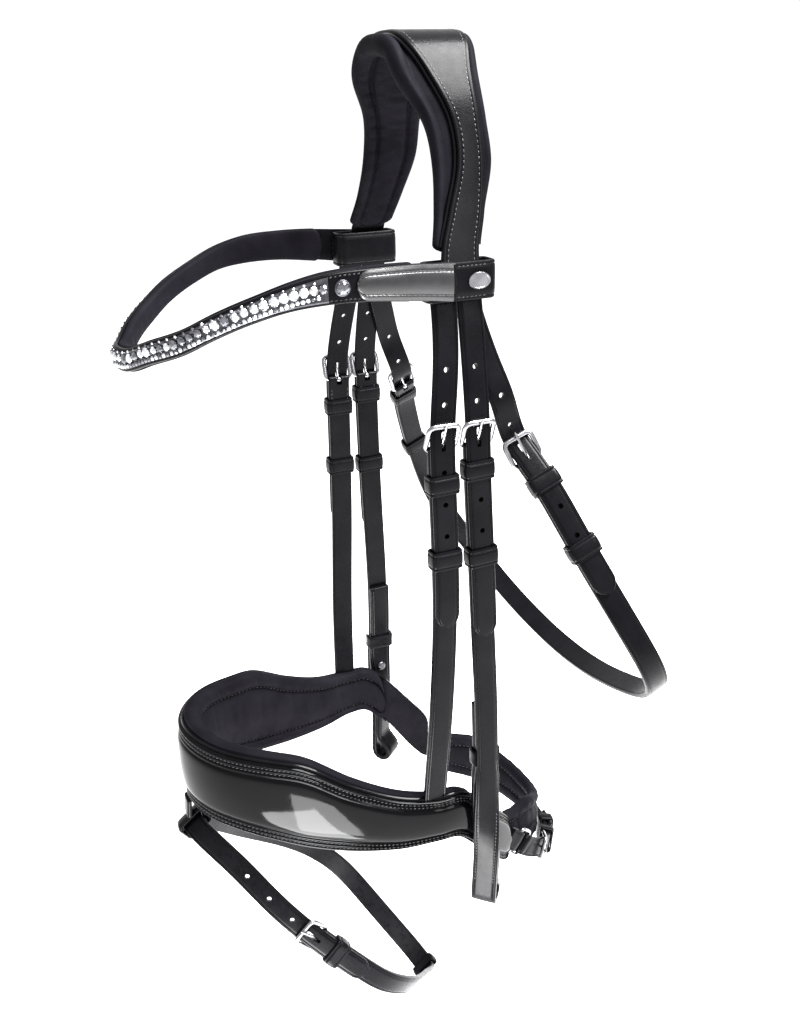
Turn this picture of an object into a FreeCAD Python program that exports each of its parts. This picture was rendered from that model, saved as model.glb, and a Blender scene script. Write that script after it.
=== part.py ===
"""Snaffle bridle: headpiece, shaped browband, cheekpieces, throatlash, padded crank noseband and flash.

Millimetres. Origin at the middle of the crown pad's underside, where it lies on the poll. +Z is up,
-Y is towards the horse's nose and +X is the horse's left, the near side. The far side is the mirror image.
"""
import FreeCAD, Part
import math
import os

from FreeCAD import Vector

# ---- Driving dimensions --------------------------------------------------------------------------------
WIDTH = 13.5            # width of every narrow strap
BIT_END_WIDTH = 15.0    # width of the stitched bit end
BILLET = 2.4            # thickness of a billet, the punched strap end
STRAP = 3.4             # thickness of a buckled strap, folded round its buckle
TAIL = 3.2              # thickness of the bit end's returned tail
SEAM = 0.2              # half of the gap between two straps that lie on each other
STATION = 9.0           # distance between two sections of a strap
SLACK = 0.35            # clearance between a strap's edge and a keeper or a buckle

WIRE = 1.0              # radius of a buckle's wire
HEEL = 0.85             # radius of the bar that the tongue turns on
RUNNING = 0.10          # running clearance on that bar
BUCKLE_REACH = 13.0     # from the heel bar to the top bar
TONGUE = 0.75           # radius of the tongue
TONGUE_SLOT = 3.4       # slot in the folded strap for the tongue's eye
FOLD = 2.2              # how far the folded strap passes the heel bar

KEEPER_HEIGHT = 10.2
CRANK_KEEPER_HEIGHT = 9.0
FLASH_KEEPER_HEIGHT = 9.5
FLASH_BEND_KEEPER = (6.0, 1.8)      # height and slack of the keeper at the flash's sharpest bend
KEEPER_WALL = 1.4
HOLE = 1.4              # radius of a punched hole
HOLE_PITCH = 17.0
FLASH_HOLE_PITCH = 19.0

CROWN_LEATHER = 2.6
CROWN_PAD = 9.0         # depth of the pad at the poll
BACKING = 0.25          # gap between a leather face and the padding behind it
TRIM_GAP = 0.45         # gap between the browband's face and the trim that lies on it
CROWN_TOP = CROWN_LEATHER + BACKING + CROWN_PAD
EYE = 4.0               # inner radius of the loop that holds the bit ring
EYE_DROP = 11.0         # from the last stitch to the middle of that loop

BROWBAND_LEATHER = 2.4
BROWBAND_LINING = 4.5   # depth of the lining's inner face under the leather
LINING_GAP = 0.45
LINING_INSET = 0.6      # the lining is this much lower than the leather at each edge
LINING_END = 0.948      # and stops here, as a share of the band from its far end
TRIM_DEPTH = 1.2        # how far the stones' channel stands above the leather
CHANNEL_INSET = 2.6
CHANNEL_STATION = 6.5   # spacing of the channel's sections
PATCH_DEPTH = 1.1
PATCH_INSET = 1.2
PATCH_END = 0.493       # the patch stops here, as a share of the band from its middle
LOOP_WALL = 2.0
LOOP_TOP = -91.2
LOOP_BOTTOM = -109.8
PLATE = (6.0, 4.2, 0.9) # half length, half height and depth of the plain oval plate on each loop

SHELL = 3.0             # thickness of the noseband's patent shell
RIM_RISE = 2.0          # how far the padding stands above the shell
RIM_DROP = 1.5          # and below it

# Distances along each strap's route, from its top
CHEEK_HINGE = 23.0      # where the cheekpiece's billet starts to bend, below the browband loop
THROAT_HINGE = 21.0     # and the throatlash's
HINGE_GAP = 0.6
CHEEK_HEEL = 89.0
NOSE_FIXED_KEEPER = 106.6
NOSE_RUNNING_KEEPER = 147.0
NOSE_TIP = 186.0
CHEEK_FIXED_KEEPER = 101.0
CHEEK_RUNNING_KEEPER = 148.8
CHEEK_TIP = 196.0
BIT_KEEPER = {"near": 275.0, "far": 283.0}
BIT_KEEPER_FRONT = -2.2 # height over the route at which its two ends are sewn to the strap's sides
BIT_END_TOP = 284.0     # the bit end is wider below here
BIT_END_TWIST = (292.0, 350.0, -42.0)   # and turns its face forwards
HOOK_STUD = 304.0
TAIL_TIP = 240.0
THROAT_HEEL = 104.0
THROAT_FIXED_KEEPER = 117.5
THROAT_RUNNING_KEEPER = {"near": 157.0, "far": 172.0}
THROAT_TIP = 184.0
FLASH_HEEL = 108.0
FLASH_FIXED_KEEPER = 121.5
FLASH_TIP = 146.0
TAB_HALF = 5.0          # half width of the tab that carries the flash
TAB_WALL = 1.8
TAB_SLACK = 1.3         # room for the strap's bend inside the tab
CRANK_HEEL = 30.0
CRANK_FIXED_KEEPER = 41.0
CRANK_RUNNING_KEEPER = 58.0
CRANK_TIP = 70.0

# A billet's point: shares of its length, and of the width there
POINT = WIDTH * 0.62
TIP = [(0.0, 1.0), (0.4, 0.92), (0.7, 0.72), (0.9, 0.45), (1.0, 0.2)]

# Layers, as heights of the two faces above a strap's route
BILLET_LAYER = (SEAM, SEAM + BILLET)
STRAP_LAYER = (-SEAM - STRAP, -SEAM)
TAIL_LAYER = (-3 * SEAM - STRAP - TAIL, -3 * SEAM - STRAP)

# ---- Routes: the design's own points, near side --------------------------------------------------------
NOSE_CHEEK_POINTS = [
    (57.4, -17.4, -94.5), (62, -17.4, -112), (65, -18, -123), (70.5, -20.7, -145), (74.3, -24.1, -172),
    (76.7, -24.5, -205), (78.8, -24.4, -240), (80, -24.7, -270), (80.5, -26, -305), (79.5, -28, -346),
    (76.9, -29.5, -380), (75.8, -30, -396), (75.6, -30, -414),
]
CHEEKPIECE_POINTS = [
    (57.4, -3.4, -94.5), (62, -3.4, -112), (65, -3.8, -123), (70.5, -4.6, -145), (75.5, -5.3, -172),
    (77.6, -5, -205), (79.4, -4, -240), (80.8, -2.5, -284), (82.2, -1, -326), (84.2, -0.8, -370),
    (85.5, -1.5, -400), (85.7, -2.5, -430), (85.4, -3.5, -456),
]
THROAT_POINTS = [
    (55.9, -4.5, -98), (58.9, -3.6, -110), (63, 0.5, -128), (67.4, 5.6, -145), (71.2, 10.5, -160),
    (72.6, 18.9, -183.7), (78.9, 21.4, -190), (83, 23, -194), (88.5, 25.2, -199.4), (104, 35, -224),
    (118, 47, -252), (130, 60, -280), (134, 69, -298), (127, 80, -318), (108, 88, -334), (80, 92, -346),
    (40, 96.5, -358), (0, 98, -362),
]
FLASH_POINTS = [
    (0, -156, -420), (3, -155.9, -420.15), (7, -154.2, -422.1), (12.5, -149, -428.6),
    (23, -136.5, -444), (38, -120, -466), (52, -100, -489), (62.5, -78, -512), (66, -62, -529),
    (61, -47, -545), (47, -33, -564), (25, -17, -587), (0, -4, -606),
]
CRANK_POINTS = [(53.5, 42, -468), (49, 54, -478), (39, 68, -487), (21, 79, -493), (0, 83, -495)]

# Shaped bands: x, y, upper edge, lower edge and thickness, from the middle of the front to the near end
BROWBAND_SHAPE = [
    (0, -166, -127.5, -139), (12, -163, -127, -138.5), (28, -155, -121.5, -132.5), (44, -143, -115, -126),
    (55, -129, -107, -118), (63, -113, -100, -111), (69.5, -97, -94, -106), (72.5, -79, -90, -104),
    (73.4, -60, -89, -104), (72.6, -40, -89.2, -106), (70.6, -24, -90.2, -108), (70.4, -13, -91, -109.5),
]
NOSEBAND_SHAPE = [
    (0, -157.5, -352, -401, 10.5), (20, -152.5, -353, -402, 10.5), (37, -139.5, -355, -404, 10.5),
    (49, -120, -358.5, -410, 10.5), (57.5, -101, -363, -416, 10.0), (66, -76.5, -378, -421, 9.5),
    (73, -52, -389, -423, 9.0), (77.8, -29, -393, -421.5, 8.0), (77.6, -14, -394, -423.5, 7.5),
    (74, 0, -404, -438, 7.5), (68, 14, -420, -457, 7.0), (64, 21.3, -428.5, -465.5, 6.3),
    (60.4, 27.6, -435, -471.5, 5.4),
]
CHIN_PAD_SHAPE = [
    (0, 73, -463, -490), (21, 67.5, -458, -488), (36.6, 52.8, -447, -482), (44.5, 38.7, -445, -478),
    (50, 25.8, -441, -474),
]
CHIN_PAD = 8.5          # thickness of the chin pad
PADDING_END = 0.93      # the noseband's padding stops here, as a share of the band from its far end
POCKET = 36.0           # length of the cheek strap's end inside the noseband

# Crown: x, z of the leather's face, its front and back edge, the pad's front and back edge, the pad's depth
CROWN_SHAPE = [
    (0, CROWN_TOP, -19, 18, -27, 25, CROWN_PAD), (20, 8.5, -18, 16.6, -26.5, 21.5, CROWN_PAD),
    (34, -6.5, -11, 12.2, -25, 18, 8.5), (44, -27.5, -3, 11.6, -15.5, 17.3, 6.8),
    (50, -48, -2.8, 11.4, -13.7, 17.2, 5.8), (55, -69, -9.5, 8.4, -16, 11, 4.2),
    (60.4, -86, -16, 3.6, -20, 6, 2.8), (64.5, -100, -18, 2.6, -22, 4, 2.2),
    (65.4, -103, -18, 2.6, -22, 4, 2.2),
]
CROWN_PAD_END = 0.885   # share of the arch that the pad covers: it stops just above the browband loops

LOOP_INSIDE = (56.9, 65.9)      # x of the browband loop's two inner faces
LOOP_FRONT = -25.4
LOOP_BACK = 7.4

STONES = 21             # stones on each side of the browband, besides the middle one
STONE_PITCH = 5.6
STONE = 2.35            # radius of a stone
STONE_DEPTH = 2.2
CHANNEL_OVERHANG = 0.7  # the channel passes the last stone by this share of a pitch
END_STONE_GAP = 6.8     # from the channel's end to the middle of the single end stone
PATCH_GAP = 13.5        # and to the start of the stitched patch


# ---- Helpers -------------------------------------------------------------------------------------------
def mirrored(shape):
    """The far side's copy of a near-side shape."""
    return shape.mirror(Vector(0, 0, 0), Vector(1, 0, 0))


def mirrored_points(points):
    """A near half followed by its mirror image, sharing the last point, which lies on the middle plane."""
    return list(points) + [(-p[0], *p[1:]) for p in reversed(points[:-1])]


def whole_band(shape):
    """Rows from the middle to the near end, widened to rows from the far end to the near end."""
    return [(-row[0], *row[1:]) for row in reversed(shape[1:])] + list(shape)


def solid_through(sections):
    """A solid with flat facets between neighbouring closed sections."""
    wires = [Part.makePolygon(list(corners) + [corners[0]]) for corners in sections]
    return Part.makeLoft(wires, True, True)


def box_between(low, high):
    """An upright box from its lowest to its highest corner."""
    return Part.makeBox(high[0] - low[0], high[1] - low[1], high[2] - low[2], Vector(*low))


def upright_edges(shape):
    return [edge for edge in shape.Edges if abs(edge.tangentAt(0).z) > 0.9]


def rod(start, end, radius):
    """A round rod between two points."""
    start, end = Vector(*start), Vector(*end)
    return Part.makeCylinder(radius, (end - start).Length, start, end - start)


def fused(shapes):
    """One solid from overlapping shapes."""
    result = shapes[0].multiFuse(list(shapes[1:]))
    return result.removeSplitter()


class Route:
    """The line that a strap follows. A frame on it is place, outward, across and up (against the travel).

    A twist (start, end, degrees) turns the strap about its own line between two distances.
    """

    def __init__(self, points, across, twist=(0.0, 1.0, 0.0)):
        curve = Part.BSplineCurve()
        curve.interpolate([Vector(*p) for p in points])
        self.edge = curve.toShape()
        self.length = self.edge.Length
        self.across = Vector(*across).normalize()
        self.twist = twist

    def frame(self, distance):
        at = self.edge.getParameterByLength(min(max(distance, 0.0), self.length))
        place = self.edge.valueAt(at)
        along = self.edge.tangentAt(at)
        across = (self.across - along * self.across.dot(along)).normalize()
        up = along * -1
        start, end, degrees = self.twist
        share = min(max((distance - start) / (end - start), 0.0), 1.0)
        turn = FreeCAD.Rotation(up, degrees * share * share * (3 - 2 * share))
        across = turn.multVec(across)
        return place, across.cross(up), across, up

    def placed(self, shape, distance):
        """A shape made round the origin (x outward, y across, z up), moved to its place on the route."""
        place, outward, across, up = self.frame(distance)
        matrix = FreeCAD.Matrix(
            outward.x, across.x, up.x, place.x,
            outward.y, across.y, up.y, place.y,
            outward.z, across.z, up.z, place.z,
            0, 0, 0, 1,
        )
        return moved(shape, matrix)

    def strap(self, start, end, layer, width=WIDTH, point=0.0):
        """A flat strap between two distances. Its last stretch, point, narrows to a rounded tip."""
        first, last = math.ceil(start / STATION + 0.25), math.floor((end - point) / STATION - 0.25)
        stations = [(start, width)] + [(k * STATION, width) for k in range(first, last + 1)]
        if point:
            stations += [(end - point * (1 - share), width * narrow) for share, narrow in TIP]
        else:
            stations.append((end, width))
        return solid_through([self.section(distance, layer, wide) for distance, wide in stations])

    def section(self, distance, layer, width):
        place, outward, across, _ = self.frame(distance)
        low, high = layer
        half = across * (width / 2)
        return [
            place + outward * low - half, place + outward * low + half,
            place + outward * high + half, place + outward * high - half,
        ]


def moved(shape, matrix):
    """A copy of a shape, turned and moved but not deformed."""
    copy = shape.copy()
    copy.Placement = FreeCAD.Placement(matrix)
    return copy


class Rows:
    """Rows of numbers at given knots from 0 to 1, joined smoothly through every row."""

    def __init__(self, rows, knots):
        self.rows, self.knots = rows, knots

    def slope(self, k, column):
        low, high = max(k - 1, 0), min(k + 1, len(self.knots) - 1)
        return (self.rows[high][column] - self.rows[low][column]) / (self.knots[high] - self.knots[low])

    def at(self, share):
        """The row at a share, by cubic steps whose slopes come from the neighbouring rows."""
        k = 0
        while k < len(self.knots) - 2 and share > self.knots[k + 1]:
            k += 1
        gap = self.knots[k + 1] - self.knots[k]
        t = (share - self.knots[k]) / gap
        row = []
        for column in range(len(self.rows[0])):
            start, end = self.rows[k][column], self.rows[k + 1][column]
            out, into = self.slope(k, column) * gap, self.slope(k + 1, column) * gap
            row.append(
                start * (2 * t**3 - 3 * t**2 + 1) + out * (t**3 - 2 * t**2 + t)
                + end * (3 * t**2 - 2 * t**3) + into * (t**3 - t**2))
        return row


def knots_along(rows):
    """Each row's share of the whole length, measured on its first two columns, and that length."""
    steps = [math.dist(a[:2], b[:2]) for a, b in zip(rows, rows[1:])]
    total = sum(steps)
    return [sum(steps[:k]) / total for k in range(len(rows))], total


class Band:
    """A shaped band round the middle plane: sections stand upright and follow a plan curve."""

    def __init__(self, shape):
        rows = whole_band(shape)
        knots, self.length = knots_along(rows)
        self.plan = Part.BSplineCurve()
        self.plan.interpolate(Points=[Vector(row[0], row[1], 0) for row in rows], Parameters=knots)
        self.sizes = Rows([row[2:] for row in rows], knots)

    def at(self, share):
        """Place, outward direction and the row of sizes at a share of the band's length, from the far end."""
        along = self.plan.tangent(share)[0]
        return self.plan.value(share), Vector(along.y, -along.x, 0), self.sizes.at(share)

    def solid(self, layer, rise=0.0, drop=0.0, start=0.0, end=1.0, station=STATION):
        """The solid between two depths under the outer face. A depth may depend on the row's thickness."""
        count = max(2, round((end - start) * self.length / station))
        sections = []
        for k in range(count + 1):
            place, outward, size = self.at(start + (end - start) * k / count)
            near, deep = (depth(size[2]) if callable(depth) else depth for depth in layer)
            top, bottom = size[0] + rise, size[1] - drop
            outer, inner = place - outward * near, place - outward * deep
            sections.append([
                Vector(outer.x, outer.y, bottom), Vector(outer.x, outer.y, top),
                Vector(inner.x, inner.y, top), Vector(inner.x, inner.y, bottom),
            ])
        return solid_through(sections)


# ---- Buckles, keepers and studs, made round the origin -------------------------------------------------
HEEL_X = -SEAM - STRAP / 2
TOP_X = BILLET_LAYER[1] + SLACK + WIRE
SIDE_Y = WIDTH / 2 + SLACK + WIRE


def buckle_frame():
    """A wire rectangle. Its heel bar lies in the folded strap, and its top bar over the billet."""
    sides = []
    for y in (-SIDE_Y, SIDE_Y):
        sides.append(rod((HEEL_X, y, 0), (TOP_X, y, BUCKLE_REACH), WIRE))
        sides.append(Part.makeSphere(WIRE, Vector(TOP_X, y, BUCKLE_REACH)))
        sides.append(Part.makeSphere(WIRE, Vector(HEEL_X, y, 0)))
    top = rod((TOP_X, -SIDE_Y, BUCKLE_REACH), (TOP_X, SIDE_Y, BUCKLE_REACH), WIRE)
    heel = rod((HEEL_X, -SIDE_Y, 0), (HEEL_X, SIDE_Y, 0), HEEL)
    return fused(sides + [top, heel])


def tongue():
    """An eye on the heel bar, and a rod that comes out through the billet and rests on the top bar."""
    eye_radius = STRAP / 2 + 0.1
    half_eye = TONGUE_SLOT / 2 - 0.4
    rise = TOP_X + 1.2 * (WIRE + TONGUE + RUNNING) - HEEL_X
    slope = math.hypot(rise, BUCKLE_REACH)
    reach = (slope + 2.2) / slope
    eye = rod((HEEL_X, -half_eye, 0), (HEEL_X, half_eye, 0), eye_radius)
    arm = rod((HEEL_X, 0, 0), (HEEL_X + rise * reach, 0, BUCKLE_REACH * reach), TONGUE)
    tip = Part.makeSphere(TONGUE, Vector(HEEL_X + rise * reach, 0, BUCKLE_REACH * reach))
    bore = rod((HEEL_X, -SIDE_Y, 0), (HEEL_X, SIDE_Y, 0), HEEL + RUNNING)
    return fused([eye, arm, tip]).cut(bore)


def heel_recess():
    """What a folded strap loses round the heel bar: the bar's bore and the slot for the tongue's eye."""
    bore = rod((HEEL_X, -WIDTH, 0), (HEEL_X, WIDTH, 0), HEEL + 0.12)
    half = TONGUE_SLOT / 2
    slot = box_between((-STRAP - 2, -half, -3.0), (SEAM, half, 6.0))
    return bore.fuse(slot)


def tongue_slot():
    """The long hole in a billet that the tongue stands in, wide enough for its whole travel."""
    half = TONGUE + 0.35
    return box_between((-1.5, -half, -0.3), (BILLET_LAYER[1] + 1.5, half, 10.2))


def punched_hole():
    return rod((-0.5, 0, 0), (BILLET + 1.5, 0, 0), HOLE)


def keeper(low, high, height=KEEPER_HEIGHT, wall=KEEPER_WALL, width=WIDTH, slack=SLACK):
    """A leather loop round everything between two heights over the route."""
    half = width / 2 + slack
    low, high = low - slack, high + slack
    outer = box_between((low - wall, -half - wall, -height / 2), (high + wall, half + wall, height / 2))
    outer = outer.makeFillet(wall * 0.8, upright_edges(outer))
    return outer.cut(box_between((low, -half, -height), (high, half, height)))


def bit_keeper():
    """The loop behind the bit end's tail. Its two ends are sewn to the sides of the strap."""
    loop = keeper(TAIL_LAYER[0], STRAP_LAYER[1], width=BIT_END_WIDTH, slack=SLACK)
    return loop.cut(box_between((BIT_KEEPER_FRONT, -WIDTH, -WIDTH), (WIDTH, WIDTH, WIDTH)))


def hook_stud():
    """A domed stud that goes through the bit end and holds the returned tail."""
    stem = rod((TAIL_LAYER[0] - 1.0, 0, 0), (-SEAM, 0, 0), 1.3)
    head = Part.makeCylinder(3.2, 1.4, Vector(TAIL_LAYER[0] - 1.7, 0, 0), Vector(1, 0, 0))
    return fused([stem, head])


def stud_hole():
    return rod((TAIL_LAYER[0] - 3, 0, 0), (2, 0, 0), 1.4)


def drop_prism(corner_x, corner_z, side_x, radius, centre_z, width):
    """A prism along y: a straight side at side_x, a half circle below, and a tangent back to a corner."""
    centre_x = side_x - radius
    dx, dz = corner_x - centre_x, corner_z - centre_z
    turn = math.atan2(dz, dx) + math.acos(radius / math.hypot(dx, dz))
    touch = Vector(centre_x + radius * math.cos(turn), 0, centre_z + radius * math.sin(turn))
    corner, side_top = Vector(corner_x, 0, corner_z), Vector(side_x, 0, corner_z)
    side_foot, bottom = Vector(side_x, 0, centre_z), Vector(centre_x, 0, centre_z - radius)
    edges = [
        Part.makeLine(corner, side_top), Part.makeLine(side_top, side_foot),
        Part.Arc(side_foot, bottom, touch).toShape(), Part.makeLine(touch, corner),
    ]
    prism = Part.Face(Part.Wire(edges)).extrude(Vector(0, width, 0))
    prism.translate(Vector(0, -width / 2, 0))
    return prism


def bit_eye():
    """The loop at the end of a cheekpiece: the strap runs down, round the bit ring and back inside."""
    outer = drop_prism(TAIL_LAYER[0], 0.0, -SEAM, EYE + STRAP, -EYE_DROP, BIT_END_WIDTH)
    inner = drop_prism(STRAP_LAYER[0] - 0.4, -1.5, STRAP_LAYER[0], EYE, -EYE_DROP, BIT_END_WIDTH + 2)
    return outer.cut(inner)


# ---- The bridle's straps -------------------------------------------------------------------------------
NOSE_CHEEK = Route(NOSE_CHEEK_POINTS, (0, 1, 0))
CHEEKPIECE = Route(CHEEKPIECE_POINTS, (0, 1, 0), BIT_END_TWIST)
THROAT = Route(mirrored_points(THROAT_POINTS), (0, 1, 0.42))
FLASH = Route(mirrored_points(FLASH_POINTS), (0, 0.777, 0.63))
CRANK = Route(mirrored_points(CRANK_POINTS), (0, 0.1, 1))


def billet(route, start, tip, heel, pitch=HOLE_PITCH, above=2, below=3, square=False):
    """A punched billet: a pointed end, the tongue's slot, and evenly pitched holes each side of it."""
    shape = route.strap(start, tip, BILLET_LAYER, point=0.0 if square else POINT)
    shape = shape.cut(route.placed(tongue_slot(), heel))
    used = heel - 6.0
    for k in list(range(-above, 0)) + list(range(1, below + 1)):
        shape = shape.cut(route.placed(punched_hole(), used + k * pitch))
    return shape


def noseband_cheek():
    """The front strap of each cheek: buckled at the top, its lower end inside the noseband."""
    strap = NOSE_CHEEK.strap(CHEEK_HEEL - FOLD, NOSE_CHEEK.length, STRAP_LAYER)
    return strap.cut(NOSE_CHEEK.placed(heel_recess(), CHEEK_HEEL))


def cheekpiece():
    """The rear strap of each cheek, with the bit loop and its returned tail, in one piece of leather."""
    length = CHEEKPIECE.length
    top = BIT_END_TOP
    narrow = CHEEKPIECE.strap(CHEEK_HEEL - FOLD, top, STRAP_LAYER)
    wide = CHEEKPIECE.strap(top, length, STRAP_LAYER, BIT_END_WIDTH)
    wide_tail = CHEEKPIECE.strap(top, length, TAIL_LAYER, BIT_END_WIDTH)
    tail = CHEEKPIECE.strap(TAIL_TIP, top, TAIL_LAYER)
    between = (TAIL_LAYER[1] - 0.5, STRAP_LAYER[0] + 0.5)
    stitched = CHEEKPIECE.strap(HOOK_STUD + 8, length, between, BIT_END_WIDTH)
    strap = fused([narrow, wide, wide_tail, tail, stitched, CHEEKPIECE.placed(bit_eye(), length)])
    strap = strap.cut(CHEEKPIECE.placed(heel_recess(), CHEEK_HEEL))
    return strap.cut(CHEEKPIECE.placed(stud_hole(), HOOK_STUD))


def throatlash():
    """The long strap under the throat, with a buckle at each end."""
    strap = THROAT.strap(THROAT_HEEL - FOLD, THROAT.length - THROAT_HEEL + FOLD, STRAP_LAYER)
    recess = THROAT.placed(heel_recess(), THROAT_HEEL)
    return strap.cut(recess).cut(mirrored(recess))


def flash_strap():
    """One strap through the flash tab: a billet down the near side, the rest round to its buckle."""
    punched = FLASH.strap(0.0, FLASH_TIP, BILLET_LAYER, point=POINT)
    punched = punched.cut(FLASH.placed(tongue_slot(), FLASH_HEEL))
    for k in (-3, -2, -1, 1):
        punched = punched.cut(FLASH.placed(punched_hole(), FLASH_HEEL - 3.0 + k * FLASH_HOLE_PITCH))
    round_the_jaw = FLASH.strap(FLASH_HEEL - FOLD, FLASH.length, STRAP_LAYER)
    round_the_jaw = round_the_jaw.cut(FLASH.placed(heel_recess(), FLASH_HEEL))
    low, high = (STRAP_LAYER[0], -WIDTH / 2, -4.0), (BILLET_LAYER[1], WIDTH / 2, 4.0)
    in_tab = FLASH.placed(box_between(low, high), 0.0)
    return fused([punched, round_the_jaw, in_tab])


def flash_tab():
    """The leather loop under the noseband's front that carries the flash strap."""
    low, high = STRAP_LAYER[0] - TAB_SLACK, BILLET_LAYER[1] + TAB_SLACK
    half = WIDTH / 2 + SLACK
    wall = TAB_WALL
    outer = box_between((low - wall, -half - wall, -TAB_HALF), (high + wall, half + wall, TAB_HALF))
    outer = outer.makeFillet(2.6, upright_edges(outer))
    inner = box_between((low, -half, -20.0), (high, half, 20.0))
    loop = FLASH.placed(outer, 0.0)
    neck = box_between((-TAB_HALF, -158.6, -415.0), (TAB_HALF, -154.2, -403.4))
    return fused([loop, neck]).cut(FLASH.placed(inner, 0.0))


# ---- Crown and browband --------------------------------------------------------------------------------
class Crown:
    """The arch over the poll, as sections from the far end to the near end."""

    def __init__(self):
        rows = whole_band(CROWN_SHAPE)
        knots, self.length = knots_along(rows)
        self.arch = Part.BSplineCurve()
        self.arch.interpolate(Points=[Vector(row[0], row[1], 0) for row in rows], Parameters=knots)
        self.leather = Rows([row[2:4] + row[6:] for row in rows], knots)
        self.pad = Rows([row[4:] for row in rows], knots)

    def solid(self, edges, near, deep, end):
        """The solid between two depths, over the middle share of the arch given by end."""
        count = 2 * round(end * self.length / STATION)
        sections = []
        for k in range(count + 1):
            share = 0.5 + end * (k / count - 0.5)
            place = self.arch.value(share)
            along = self.arch.tangent(share)[0]
            outward = Vector(-along.y, 0, along.x)
            front, back, depth = edges.at(share)
            lower = near + depth if deep is None else deep
            top = Vector(place.x, 0, place.y) - outward * near
            bottom = Vector(place.x, 0, place.y) - outward * lower
            sections.append([
                Vector(top.x, front, top.z), Vector(top.x, back, top.z),
                Vector(bottom.x, back, bottom.z), Vector(bottom.x, front, bottom.z),
            ])
        return solid_through(sections)


def rounded_tube(low, high, wall, radius):
    """An upright rectangular tube: the inner faces are given, the wall is outside them."""
    outer = box_between((low[0] - wall, low[1] - wall, low[2]), (high[0] + wall, high[1] + wall, high[2]))
    outer = outer.makeFillet(radius, upright_edges(outer))
    inner = box_between((low[0], low[1], low[2] - 1), (high[0], high[1], high[2] + 1))
    return outer.cut(inner)


def browband_loop():
    low = (LOOP_INSIDE[0], LOOP_FRONT, LOOP_BOTTOM)
    high = (LOOP_INSIDE[1], LOOP_BACK, LOOP_TOP)
    return rounded_tube(low, high, LOOP_WALL, LOOP_WALL * 0.9)


def stone(radius, depth):
    """An eight-sided stone, wider at its girdle than at its table. Its axis is x."""
    rings = ((0.0, 0.75), (depth * 0.4, 1.0), (depth, 0.55))
    sections = []
    for x, share in rings:
        corners = []
        for k in range(8):
            angle = math.radians(22.5 + 45 * k)
            corners.append(Vector(x, radius * share * math.cos(angle), radius * share * math.sin(angle)))
        sections.append(corners)
    return solid_through(sections)


def on_band(band, shape, share, lift, height=0.5):
    """A shape made round the origin with x outward, set on a band's outer face."""
    place, outward, size = band.at(share)
    along = Vector(-outward.y, outward.x, 0)
    z = size[1] + (size[0] - size[1]) * height
    matrix = FreeCAD.Matrix(
        outward.x, along.x, 0, place.x + outward.x * lift,
        outward.y, along.y, 0, place.y + outward.y * lift,
        0, 0, 1, z,
        0, 0, 0, 1,
    )
    return moved(shape, matrix)


def oval_plate(half_length, half_height, depth):
    """A flat plate with round ends. Its face looks along x and it is longest along y."""
    reach = half_length - half_height
    bar = box_between((0, -reach, -half_height), (depth, reach, half_height))
    ends = [rod((0, y, 0), (depth, y, 0), half_height) for y in (-reach, reach)]
    return fused([bar] + ends)


# ---- Noseband's rear: rings, tabs, chin pad and crank strap --------------------------------------------
RING_WIRE = 1.2
RING_REACH = 9.0
RING_SIDE = WIDTH / 2 + 0.6 + RING_WIRE


def crank_ring():
    """A wire rectangle between the noseband's tab and the crank strap. Its lower bar is at the origin."""
    bars = []
    for z in (0.0, RING_REACH):
        bars.append(rod((0, -RING_SIDE, z), (0, RING_SIDE, z), RING_WIRE))
    for y in (-RING_SIDE, RING_SIDE):
        bars.append(rod((0, y, 0), (0, y, RING_REACH), RING_WIRE))
        bars.append(Part.makeSphere(RING_WIRE, Vector(0, y, 0)))
        bars.append(Part.makeSphere(RING_WIRE, Vector(0, y, RING_REACH)))
    return fused(bars)


def strap_eye(z, bore=RING_WIRE + 0.15, wall=1.7):
    """A folded strap end round a bar at height z."""
    eye = rod((0, -WIDTH / 2, z), (0, WIDTH / 2, z), bore + wall)
    return eye, rod((0, -WIDTH, z), (0, WIDTH, z), bore)


def ring_tab():
    """The short folded tab that ties a ring to the noseband's end."""
    eye, bore = strap_eye(RING_REACH)
    leg = box_between((-1.5, -WIDTH / 2, RING_REACH), (1.5, WIDTH / 2, RING_REACH + 7.0))
    return fused([eye, leg]).cut(bore)


def crank_billet():
    """The punched strap that hangs from the near ring and takes the crank buckle."""
    eye, bore = strap_eye(0.0)
    folded = CRANK.placed(eye, 0.0)
    flat = billet(CRANK, 1.0, CRANK_TIP, CRANK_HEEL, above=0, below=2, square=True)
    step = CRANK.placed(box_between((0, -WIDTH / 2, -8.0), (BILLET_LAYER[1], WIDTH / 2, -1.0)), 0.0)
    return fused([folded, flat, step]).cut(CRANK.placed(bore, 0.0))


def crank_strap():
    """The strap behind the chin, from the crank buckle to the far ring."""
    eye, bore = strap_eye(0.0)
    end = CRANK.length
    strap = CRANK.strap(CRANK_HEEL - FOLD, end - 2.0, STRAP_LAYER)
    strap = strap.cut(CRANK.placed(heel_recess(), CRANK_HEEL))
    folded = mirrored(CRANK.placed(eye, 0.0))
    step = mirrored(CRANK.placed(box_between((STRAP_LAYER[0], -WIDTH / 2, -8.0), (0, WIDTH / 2, -1.0)), 0.0))
    return fused([strap, folded, step]).cut(mirrored(CRANK.placed(bore, 0.0)))


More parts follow.
